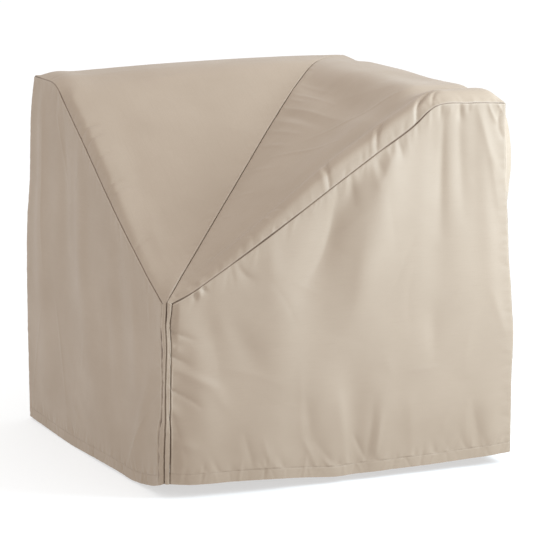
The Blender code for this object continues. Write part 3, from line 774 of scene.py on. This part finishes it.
def outward_normals(grid, away):
    """Unit normals of a grid of points, all on the side of the direction away."""
    normal = unit(np.cross(np.gradient(grid, axis=0), np.gradient(grid, axis=1)))
    return normal if (normal @ np.array(away, dtype=float)).sum() > 0 else -normal


def rim_places(rows, columns):
    """Grid places round the rim of a panel, in order."""
    return ([(0, j) for j in range(columns - 1)] + [(i, columns - 1) for i in range(rows - 1)]
            + [(rows - 1, j) for j in range(columns - 1, 0, -1)] + [(i, 0) for i in range(rows - 1, 0, -1)])


def rim_key(point):
    """The place of a rim point to a tenth of a millimetre, which panels that meet there share."""
    return tuple(np.round(point, 4))


def seam_directions(panels, normals):
    """Outward direction at each rim point, the mean of the normals of the panels that meet there.
    A hem point belongs to one panel and keeps its own."""
    found = {}
    for name, panel in panels.items():
        for place in rim_places(*panel.grid.shape[:2]):
            found.setdefault(rim_key(panel.grid[place]), []).append(normals[name][place])
    return {key: unit(np.mean(near, axis=0)) for key, near in found.items()}


def edge_distances(grid):
    """Distance of each grid point to each of the four borders, measured along the cloth."""
    rows = np.linalg.norm(np.diff(grid, axis=0), axis=2).cumsum(axis=0)
    rows = np.concatenate((np.zeros((1, grid.shape[1])), rows))
    columns = np.linalg.norm(np.diff(grid, axis=1), axis=2).cumsum(axis=1)
    columns = np.concatenate((np.zeros((grid.shape[0], 1)), columns), axis=1)
    return {"first_row": rows, "last_row": rows[-1:] - rows,
            "first_column": columns, "last_column": columns[:, -1:] - columns}


SEAMS = {"side": ("first_row", "last_row", "last_column"),
         "top": ("first_row", "first_column", "last_column"),
         "back": ("first_row", "last_row", "last_column")}
HEM = {"side": "first_column", "top": "last_row", "back": "first_column"}
BORDER = {"first_row": np.s_[:1, :], "last_row": np.s_[-1:, :],
          "first_column": np.s_[:, :1], "last_column": np.s_[:, -1:]}


def along_border(distance, border):
    """How far along a border each grid point lies, by the border's own length."""
    length = distance["first_row" if "column" in border else "first_column"]
    return np.broadcast_to(length[BORDER[border]], length.shape)


def rim_directions(panel, directions):
    """The seam directions of a panel's rim, each spread over the whole panel from its border."""
    shape = panel.grid.shape
    spread = {}
    for border, cut in BORDER.items():
        line = panel.grid[cut].reshape(-1, 3)
        found = np.array([directions[rim_key(point)] for point in line])
        spread[border] = np.broadcast_to(found.reshape(panel.grid[cut].shape), shape)
    return spread


# ---- cloth near seams and hems

MAIN_CREASES = {"side_right": RIGHT_WALL_CREASES, "side_left": LEFT_WALL_CREASES,
                "top_right": RIGHT_SLOPE_CREASES, "top_left": LEFT_SLOPE_CREASES}
GATHERS = {"side_right": RIGHT_GATHERS, "side_left": LEFT_GATHERS}
HEM_CREASES = {"side_right": RIGHT_HEM_CREASES, "side_left": LEFT_HEM_CREASES}
STRIP_CREASES = {"top_right": RIGHT_STRIP_CREASES, "top_left": LEFT_STRIP_CREASES}
PANEL_SEED = 100         # sets each panel's random numbers apart from the next one's
HEM_SEED = 50            # and its hem's apart from its seams'


def kind_of(name):
    """A panel's kind, side, top or back, from its name."""
    return name.split("_")[0]


def seamed(name, panel, normal, directions):
    """The panel with its seams drawn in, its creases raised and its hem doubled. Gives its outer and
    inner surfaces, and from 0 to 1 how dark each point is painted in a seam's shade and how far its rim
    is painted lighter, rubbed and in painted highlight."""
    kind = kind_of(name)
    distance = edge_distances(panel.grid)
    outward = rim_directions(panel, directions)
    moved = panel.grid + normal * relief(name, panel, distance)[..., None]
    shade, rubbed = np.zeros(panel.a.shape), np.zeros(panel.a.shape)
    for border in SEAMS[kind]:
        away = distance[border]
        sink = GROOVE_DEPTH * np.exp(-(away / GROOVE_REACH) ** GROOVE_POWER)
        pillow = PILLOW_RISE * (away / PILLOW_REACH) * np.exp(1 - away / PILLOW_REACH)
        if kind == "top":
            near = away / STRIP_PILLOW_REACH
            pillow = pillow + on_strip(panel) * STRIP_PILLOW * near * np.exp(1 - near)
        moved = moved - outward[border] * sink[..., None] + normal * pillow[..., None]
        # painted shade along each seam, over its own darker line
        shade = np.maximum(shade, SEAM_SHADE * np.exp(-(away / SEAM_SHADE_REACH) ** 2))
        # the rim beside each seam painted lighter: rubbed, and a painted highlight
        rubbed = np.maximum(rubbed, RUB_AND_HIGHLIGHT * np.exp(-((away - RIM_AWAY) / RIM_REACH) ** 2))
    height = panel.grid[..., 2]
    # painted shadow where the cloth beside a seam overhangs it
    for mark in SEAM_SHADOWS:
        if mark.panel == name:
            dark = mark.dark * between(height, mark.low, mark.high)
            dark = dark * np.exp(-(distance[mark.border] / mark.reach) ** MARK_POWER)
            shade = np.maximum(shade, dark)
    for rim in SEAM_RIMS:
        if rim.panel == name:
            near = np.exp(-((distance[rim.border] - rim.away) / rim.width) ** 2)
            near = near * between(height, rim.low, rim.high)
            moved = moved + normal * (rim.rise * near)[..., None]
            # the raised rim painted lighter too: rubbed, and a painted highlight
            rubbed = np.maximum(rubbed, near)
    to_hem = distance[HEM[kind]]
    stitched = np.exp(-((to_hem - HEM_DEPTH) / STITCH_REACH) ** 2)
    moved = moved - normal * (STITCH_DIP * stitched)[..., None]
    thickness = CLOTH + (HEM_CLOTH - CLOTH) * (1 - ease(to_hem, HEM_DEPTH, HEM_DEPTH + HEM_STEP))
    nearest = np.min([distance[border] for border in SEAMS[kind]], axis=0)
    turn = np.exp(-(nearest / TURN_REACH) ** 2)[..., None]
    border = np.argmin([distance[each] for each in SEAMS[kind]], axis=0)
    seam_outward = np.choose(border[..., None], [outward[each] for each in SEAMS[kind]])
    inward = unit(normal + (seam_outward - normal) * turn)
    return moved, moved - inward * thickness[..., None], shade, rubbed


def between(height, low, high):
    """1 between two heights, fading past them."""
    up = ease(height, low - MARK_FADE, low + MARK_FADE)
    return up * (1 - ease(height, high - MARK_FADE, high + MARK_FADE))


def on_strip(panel):
    """1 on the strip of a top panel and 0 on its slope and ridge."""
    return (panel.a < 0).astype(float)


def relief(name, panel, distance):
    """How far the cloth of a panel stands out over its base form."""
    total = creases(MAIN_CREASES.get(name, ()), panel.a, panel.b)
    total = total + creases(GATHERS.get(name, ()), panel.a, distance["last_column"])
    total = total + creases(HEM_CREASES.get(name, ()), panel.a, distance["first_column"])
    crossing = creases(STRIP_CREASES.get(name, ()), panel.a + 1, panel.b)
    total = total + on_strip(panel) * crossing
    seed = PANEL_SEED * list(AWAY).index(name)
    total = total + faint_creases(seed, panel.a, panel.b)
    for number, row in enumerate(SEAM_PUCKERS, start=1):
        if row.panels == kind_of(name):
            along = along_border(distance, row.border)
            total = total + puckers(row, seed + number, along, distance[row.border])
    hem = HEM[kind_of(name)]
    return total + hem_relief(seed + HEM_SEED, along_border(distance, hem), distance[hem])


# ---- meshes

MAP_GAP = 0.010          # space left round each layer in the texture map
INNER_SCALE = 0.40       # size of the inner layer there
EDGE_WIDTH = 0.003       # width of the cut edges there
SLOPE_SHIFT = 0.46       # a top panel's slope follows its strip at this distance
SHARP_CLOTH = math.radians(70)           # angles past which an edge is shaded sharp
SHARP_THREAD = math.radians(60)


def sheet_mesh(name, outer, inner, marks, flat, turned):
    """A closed sheet. Its inner surface has half as many rows and columns as its outer one."""
    rows, columns = outer.shape[:2]
    inner = inner[::2, ::2]
    inner_rows, inner_columns = inner.shape[:2]
    below = rows * columns
    faces = quads(rows, columns, 0, turned) + quads(inner_rows, inner_columns, below, not turned)
    rim = [i * columns + j for i, j in rim_places(rows, columns)]
    inner_rim = [below + i * inner_columns + j for i, j in rim_places(inner_rows, inner_columns)]
    for k, here in enumerate(inner_rim):
        there = inner_rim[(k + 1) % len(inner_rim)]
        first, middle, last = rim[2 * k], rim[2 * k + 1], rim[(2 * k + 2) % len(rim)]
        band = [(first, middle, here), (middle, there, here), (middle, last, there)]
        faces += band if turned else [face[::-1] for face in band]
    points = np.concatenate((outer.reshape(-1, 3), inner.reshape(-1, 3)))
    mesh = bpy.data.meshes.new(name)
    mesh.from_pydata(points.tolist(), [], faces)
    for attribute, values in marks.items():
        both = np.concatenate((values.ravel(), values[::2, ::2].ravel()))
        mesh.attributes.new(attribute, "FLOAT", "POINT").data.foreach_set("value", both)
    both = np.concatenate((flat.reshape(-1, 3), flat[::2, ::2].reshape(-1, 3)))
    mesh.attributes.new("cloth_place", "FLOAT_VECTOR", "POINT").data.foreach_set("vector", both.ravel())
    lay_flat(mesh, flat, below)
    mesh.shade_smooth()
    mesh.set_sharp_from_angle(angle=SHARP_CLOTH)
    return mesh


def lay_flat(mesh, flat, below):
    """The sheet's texture map: the outer surface as cut, the inner one smaller beside it, and the
    cut edges as a narrow border round the outer one."""
    along, across = flat[..., 0].copy(), flat[..., 1]
    on_slope = along >= 0 if along.min() < 0 else np.zeros(along.shape, dtype=bool)
    along[along < 0] += 1
    along[on_slope] += SLOPE_SHIFT
    place = np.stack((across - across.min(), along - along.min()), axis=-1)
    size = place.reshape(-1, 2).max(axis=0)
    scale = 1 / max(size[0] * (1 + INNER_SCALE) + 4 * MAP_GAP, size[1] + 2 * MAP_GAP)
    outer = (place + MAP_GAP) * scale
    inner = (place * INNER_SCALE + (size[0] + 3 * MAP_GAP, MAP_GAP)) * scale
    edge = np.zeros(place.shape)
    edge[:, 0, 0], edge[:, -1, 0] = -EDGE_WIDTH, EDGE_WIDTH
    edge[0, :, 1], edge[-1, :, 1] = ((EDGE_WIDTH, -EDGE_WIDTH) if place[0, 0, 1] > place[-1, 0, 1]
                                     else (-EDGE_WIDTH, EDGE_WIDTH))
    border = ((place + edge + MAP_GAP) * scale)[::2, ::2].reshape(-1, 2)
    whole = np.concatenate((outer.reshape(-1, 2), inner[::2, ::2].reshape(-1, 2)))
    vertex = np.zeros(len(mesh.loops), dtype=int)
    mesh.loops.foreach_get("vertex_index", vertex)
    laid = whole[vertex]
    faces = np.zeros(len(mesh.polygons), dtype=int)
    mesh.polygons.foreach_get("loop_total", faces)
    on_edge = np.repeat(faces == 3, faces) & (vertex >= below)
    laid[on_edge] = border[vertex[on_edge] - below]
    mesh.uv_layers.new(name="OFBake").data.foreach_set("uv", laid.ravel())


def quads(rows, columns, start, turned):
    corner = np.arange(rows * columns).reshape(rows, columns) + start
    a, b, c, d = corner[:-1, :-1], corner[1:, :-1], corner[1:, 1:], corner[:-1, 1:]
    order = (a, d, c, b) if turned else (a, b, c, d)
    return np.stack(order, axis=-1).reshape(-1, 4).tolist()


def build_panels(cloth, thread):
    panels = base_panels()
    normals = {name: outward_normals(panel.grid, AWAY[name]) for name, panel in panels.items()}
    directions = seam_directions(panels, normals)
    made = {}
    for number, (name, panel) in enumerate(panels.items()):
        outer, inner, shade, rubbed = seamed(name, panel, normals[name], directions)
        sewn = hem_stitches(name, outer, normals[name], panel.grid)
        flat = stack(panel.a, panel.b, number * PANEL_STEP)
        # painted shade, darker towards the hem
        soiled = 1 - ease(panel.grid[..., 2], LOWER_SHADE_FROM, LOWER_SHADE_TO)
        grids = [outer, inner, shade, rubbed, soiled, flat]
        if name.startswith("top"):           # the strip needs fewer rows than the wall beside it
            keep = np.r_[0:RUN_CELLS + 1, RUN_CELLS + 2:RUN_CELLS + LEVEL_CELLS + 1:2]
            grids = [values[keep] for values in grids]
        outer, inner, shade, rubbed, soiled, flat = grids
        across = np.cross(outer[1, 1] - outer[0, 1], outer[1, 2] - outer[1, 1])
        turned = across @ normals[name][1, 1] < 0
        marks = {"seam_shade": shade, "rubbed": rubbed, "soiled": soiled}
        mesh = sheet_mesh(name, outer, inner, marks, flat, turned)
        made[name] = placed("cover_" + name, mesh, cloth), placed("stitching_" + name, sewn, thread)
    return made


def placed(name, mesh, material):
    piece = bpy.data.objects.new(name, mesh)
    mesh.materials.append(material)
    bpy.context.scene.collection.objects.link(piece)
    return piece


def hem_stitches(name, outer, normal, grid):
    """The stitches along a panel's hem, each a grain of thread that dips into the cloth at its
    ends."""
    away = edge_distances(grid)[HEM[kind_of(name)]]
    if name.startswith("top"):               # turned so that each row leads up from the hem
        away, outer, normal = (values.swapaxes(0, 1)[:, ::-1] for values in (away, outer, normal))
    line, up = (np.array([[np.interp(HEM_DEPTH, across, column) for column in values.T]
                          for across, values in zip(away, grids)]) for grids in (outer, normal))
    place = np.concatenate(([0.0], np.linalg.norm(np.diff(line, axis=0), axis=1).cumsum()))
    middle = STITCH_PITCH * (np.arange(int(place[-1] / STITCH_PITCH)) + 0.5)

    def at(values, where):
        return np.stack([np.interp(where, place, column) for column in values.T], axis=-1)

    centre, upward = at(line, middle), unit(at(up, middle))
    ahead = unit(at(line, middle + STITCH_LENGTH / 2) - at(line, middle - STITCH_LENGTH / 2))
    aside = np.cross(ahead, upward)
    points = []
    for share, size in STITCH_RINGS:
        for turn in range(STITCH_SIDES):
            angle = math.tau * turn / STITCH_SIDES
            spot = centre + ahead * share * STITCH_LENGTH
            spot = spot + aside * (size * STITCH_WIDE / 2 * math.cos(angle))
            points.append(spot + upward * (size * STITCH_HIGH * math.sin(angle)))
    each = len(points)
    faces = []
    for ring in range(0, each - STITCH_SIDES, STITCH_SIDES):
        for turn in range(STITCH_SIDES):
            near, far = ring + turn, ring + (turn + 1) % STITCH_SIDES
            faces.append((near, near + STITCH_SIDES, far + STITCH_SIDES, far))
    faces += [tuple(range(STITCH_SIDES)), tuple(range(each - 1, each - STITCH_SIDES - 1, -1))]
    mesh = bpy.data.meshes.new("stitching_" + name)
    every = [tuple(each * k + corner for corner in face) for k in range(len(middle)) for face in faces]
    mesh.from_pydata(np.stack(points, axis=1).reshape(-1, 3).tolist(), [], every)
    mesh.shade_smooth()
    mesh.set_sharp_from_angle(angle=SHARP_THREAD)
    return mesh


# ---- materials

CLOTH_COLOUR = (0.349, 0.270, 0.202, 1.0)
LIGHT_THREADS = (0.385, 0.300, 0.226, 1.0)       # where more of the lighter yarn shows
DARK_THREADS = (0.318, 0.244, 0.181, 1.0)        # where more of the darker yarn shows
# a seam's line: partly its own dark line, mostly painted shade in its groove and painted shadow under the
# cloth beside it; also the painted shadow between a thread's strands
SEAM_SHADOW_COLOUR = (0.150, 0.098, 0.066, 1.0)
# lighter rim beside the seams: rubbed, and a painted highlight
RUB_AND_HIGHLIGHT_COLOUR = (0.450, 0.368, 0.288, 1.0)
# painted shade towards the hem, darker and warmer
LOWER_SHADE_COLOUR = (0.306, 0.232, 0.168, 1.0)
THREAD_COLOUR = (0.345, 0.268, 0.200, 1.0)
PANEL_STEP = 0.37        # sets each panel's pattern of yarn apart from the next one's
LOWER_SHADE_FROM = 0.03          # heights between which the painted shade towards the hem fades out
LOWER_SHADE_TO = 0.30

WEAVE_PITCH = 0.0011     # from one thread of the weave to the next
GRAIN = (620.0, 2.0)     # scale and detail of the noise in single threads
SLUBS = (22.0, 260.0, 1.0)               # how far the noise of thick yarns is drawn out, by axis
SLUB_NOISE = (1.0, 2.0)                  # its own scale and detail
PATCHES = (7.0, 3.0)     # scale and detail of the broad patches
TWIST = (1500.0, 1.0)    # the same of the sewing thread's twist

# How much of a noise's range counts, and what it becomes.
Range = namedtuple("Range", "low high to_low to_high")
LIGHT_SHARE = Range(0.50, 0.75, 0.0, 0.8)        # of the grain: lighter yarn
DARK_SHARE = Range(0.52, 0.75, 0.0, 0.3)         # of the slubs: darker yarn
BROAD_SHARE = Range(0.35, 0.70, 0.0, 0.5)        # of the patches: darker cloth
RUB_AND_HIGHLIGHT_SHARE = Range(0.35, 0.65, 0.50, 1.00)       # of the grain: where a rim is painted lighter, rubbed and in painted highlight
LOWER_SHADE_SHARE = Range(0.30, 0.65, 0.35, 0.90)    # of the patches: how dark the painted shade towards the hem is, in blotches
ROUGHNESS = Range(0.30, 0.70, 0.54, 0.66)        # of the patches: the cloth's roughness
TWIST_SHARE = Range(0.35, 0.65, 0.0, 0.6)        # of the twist: shadow between its strands
CLOTH_BUMP = (0.30, 0.00012)             # strength and distance
THREAD_BUMP = (0.30, 0.0001)
SHEEN = 0.06
SHEEN_ROUGHNESS = 0.5
THREAD_ROUGHNESS = 0.5


class Look:
    """A material, and short ways to add nodes to it. Each gives one output of its node."""

    def __init__(self, name):
        self.material = bpy.data.materials.new(name)
        self.material.use_nodes = True
        self.tree = self.material.node_tree
        self.shader = self.tree.nodes["Principled BSDF"]

    def feed(self, socket, value):
        """Link another node's output to a socket, or set the socket to a plain value."""
        if isinstance(value, bpy.types.NodeSocket):
            self.tree.links.new(value, socket)
        else:
            socket.default_value = value

    def add(self, kind, inputs, output=0, **settings):
        node = self.tree.nodes.new("ShaderNode" + kind)
        for name, value in settings.items():
            setattr(node, name, value)
        for key, value in inputs.items():
            self.feed(node.inputs[key], value)
        return node.outputs[output]

    def mark(self, name, output="Fac"):
        """An attribute of the mesh."""
        return self.add("Attribute", {}, output, attribute_name=name)

    def noise(self, place, scale, detail):
        return self.add("TexNoise", {"Vector": place, "Scale": scale, "Detail": detail})

    def maths(self, operation, first, second=0.0):
        return self.add("Math", {0: first, 1: second}, operation=operation)

    def ranged(self, value, kept):
        """A value moved from one range to another, and kept inside it."""
        return self.add("MapRange", {0: value, 1: kept.low, 2: kept.high, 3: kept.to_low,
                                     4: kept.to_high})

    def blend(self, share, first, second):
        """A mix of two colours, which this node takes at 6 and 7 and gives at 2."""
        return self.add("Mix", {0: share, 6: first, 7: second}, 2, data_type="RGBA")

    def bump(self, height, strength, distance):
        bumped = self.add("Bump", {"Strength": strength, "Distance": distance, "Height": height})
        self.feed(self.shader.inputs["Normal"], bumped)


def cloth_material():
    """Coated polyester in a plain weave, slightly satin: its yarn varies in tone, its seams are dark
    with painted shade and painted shadow, the rims beside them are painted lighter, rubbed and in
    painted highlight, and it is painted darker towards the hem in painted shade."""
    look = Look("coated_polyester")
    place = look.mark("cloth_place", "Vector")
    waves = []
    for axis in (0, 1):
        along = look.add("SeparateXYZ", {0: place}, axis)
        waves.append(look.maths("SINE", look.maths("MULTIPLY", along, math.pi / WEAVE_PITCH)))
    weave = look.maths("MULTIPLY", *waves)
    grain = look.noise(place, *GRAIN)
    slubs = look.noise(look.add("Mapping", {"Vector": place, "Scale": SLUBS}), *SLUB_NOISE)
    patches = look.noise(place, *PATCHES)

    colour = look.blend(look.ranged(grain, LIGHT_SHARE), CLOTH_COLOUR, LIGHT_THREADS)
    colour = look.blend(look.ranged(slubs, DARK_SHARE), colour, DARK_THREADS)
    colour = look.blend(look.ranged(patches, BROAD_SHARE), colour, DARK_THREADS)
    # rims beside the seams painted lighter: rubbed, and a painted highlight
    rubbed = look.maths("MULTIPLY", look.mark("rubbed"), look.ranged(grain, RUB_AND_HIGHLIGHT_SHARE))
    colour = look.blend(rubbed, colour, RUB_AND_HIGHLIGHT_COLOUR)
    # painted shade towards the hem
    soiled = look.maths("MULTIPLY", look.mark("soiled"), look.ranged(patches, LOWER_SHADE_SHARE))
    colour = look.blend(soiled, colour, LOWER_SHADE_COLOUR)
    # painted shade and painted shadow along the seams, over their own darker line
    colour = look.blend(look.mark("seam_shade"), colour, SEAM_SHADOW_COLOUR)
    look.feed(look.shader.inputs["Base Color"], colour)
    look.feed(look.shader.inputs["Roughness"], look.ranged(patches, ROUGHNESS))
    look.feed(look.shader.inputs["Sheen Weight"], SHEEN)
    look.feed(look.shader.inputs["Sheen Roughness"], SHEEN_ROUGHNESS)
    look.bump(look.maths("ADD", weave, grain), *CLOTH_BUMP)
    return look.material


def thread_material():
    """Twisted polyester thread."""
    look = Look("polyester_thread")
    twist = look.noise(look.add("TexCoord", {}, "Object"), *TWIST)
    colour = look.blend(look.ranged(twist, TWIST_SHARE), THREAD_COLOUR, SEAM_SHADOW_COLOUR)
    look.feed(look.shader.inputs["Base Color"], colour)
    look.feed(look.shader.inputs["Roughness"], THREAD_ROUGHNESS)
    look.bump(twist, *THREAD_BUMP)
    return look.material


# ---- floor, light and camera

CAMERA_PLACE = (-3.37102, -7.53618, 2.01584)
CAMERA_YAW = math.radians(24.0784)       # of the view, from +Y towards +X
CAMERA_PITCH = math.radians(10.9581)     # down
CAMERA_ROLL = math.radians(0.1808)
CAMERA_LENS = 233.33                     # millimetres, on a 36 mm sensor
CAMERA_SHIFT = 0.0145                    # the photograph's middle lies right of the lens axis
SENSOR = 36.0
VIEW_END = 100.0

WORLD_LIGHT = 1.05
Light = namedtuple("Light", "name place target size power colour")
LIGHTS = [
    Light("key", (1.5, -1.3, 1.3), (0.3, -0.3, 0.5), 1.0, 58.0, (0.71, 0.88, 1.0)),
    Light("top", (0.5, 0.2, 3.0), (0.0, 0.0, 0.5), 2.0, 9.0, (1.0, 0.95, 0.87))]

FLOOR_SIZE = 60.0
FLOOR_LEVEL = -0.002     # just under the hem
FLOOR_COLOUR = (0.38, 0.38, 0.38, 1.0)
FLOOR_ROUGHNESS = 0.9
FLOOR_GLOW = 0.60        # lifts the paper to an even white
WHITE = (1.0, 1.0, 1.0, 1.0)


def make_camera():
    data = bpy.data.cameras.new("camera")
    data.lens = CAMERA_LENS
    data.sensor_width = SENSOR
    data.shift_x = CAMERA_SHIFT
    data.clip_end = VIEW_END
    camera = bpy.data.objects.new("camera", data)
    forward = Vector((math.sin(CAMERA_YAW) * math.cos(CAMERA_PITCH),
                      math.cos(CAMERA_YAW) * math.cos(CAMERA_PITCH), -math.sin(CAMERA_PITCH)))
    level = Vector((math.cos(CAMERA_YAW), -math.sin(CAMERA_YAW), 0.0))
    upright = level.cross(forward)
    across = level * math.cos(CAMERA_ROLL) + upright * math.sin(CAMERA_ROLL)
    up = across.cross(forward)
    turn = Matrix((across, up, -forward)).transposed()
    camera.matrix_world = Matrix.Translation(CAMERA_PLACE) @ turn.to_4x4()
    bpy.context.scene.collection.objects.link(camera)
    bpy.context.scene.camera = camera


def make_light(row):
    """A square soft light that faces its target."""
    data = bpy.data.lights.new(row.name, "AREA")
    data.shape = "RECTANGLE"
    data.size = data.size_y = row.size
    data.energy = row.power
    data.color = row.colour
    light = bpy.data.objects.new(row.name, data)
    light.location = row.place
    facing = Vector(row.target) - Vector(row.place)
    light.rotation_euler = facing.to_track_quat("-Z", "Y").to_euler()
    bpy.context.scene.collection.objects.link(light)


def make_studio():
    scene = bpy.context.scene
    scene.view_settings.view_transform = "Standard"
    scene.view_settings.look = "None"
    world = bpy.data.worlds.new("studio")
    world.use_nodes = True
    background = world.node_tree.nodes["Background"]
    background.inputs["Color"].default_value = WHITE
    background.inputs["Strength"].default_value = WORLD_LIGHT
    scene.world = world
    for row in LIGHTS:
        make_light(row)

    bpy.ops.mesh.primitive_plane_add(size=FLOOR_SIZE, location=(0.0, 0.0, FLOOR_LEVEL))
    floor = bpy.context.object
    floor.name = "floor"
    paper = Look("pale_paper")
    paper.feed(paper.shader.inputs["Base Color"], FLOOR_COLOUR)
    paper.feed(paper.shader.inputs["Roughness"], FLOOR_ROUGHNESS)
    paper.feed(paper.shader.inputs["Emission Color"], WHITE)
    paper.feed(paper.shader.inputs["Emission Strength"], FLOOR_GLOW)
    floor.data.materials.append(paper.material)


# ---- the scene

FLAT_SIZES = {           # each panel as cut: width, length and area
    "side_right": (0.87, 0.87, 0.58), "side_left": (0.87, 0.87, 0.58),
    "top_right": (0.88, 1.40, 0.43), "top_left": (0.88, 1.40, 0.43),
    "back_right": (0.88, 0.87, 0.74), "back_left": (0.88, 0.87, 0.74)}

make_camera()
make_studio()
pieces = build_panels(cloth_material(), thread_material())
for node, (panel, stitching) in pieces.items():
    for piece in (panel, stitching):
        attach(piece, "root")
    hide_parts(node)
    width, length, area = FLAT_SIZES[node]
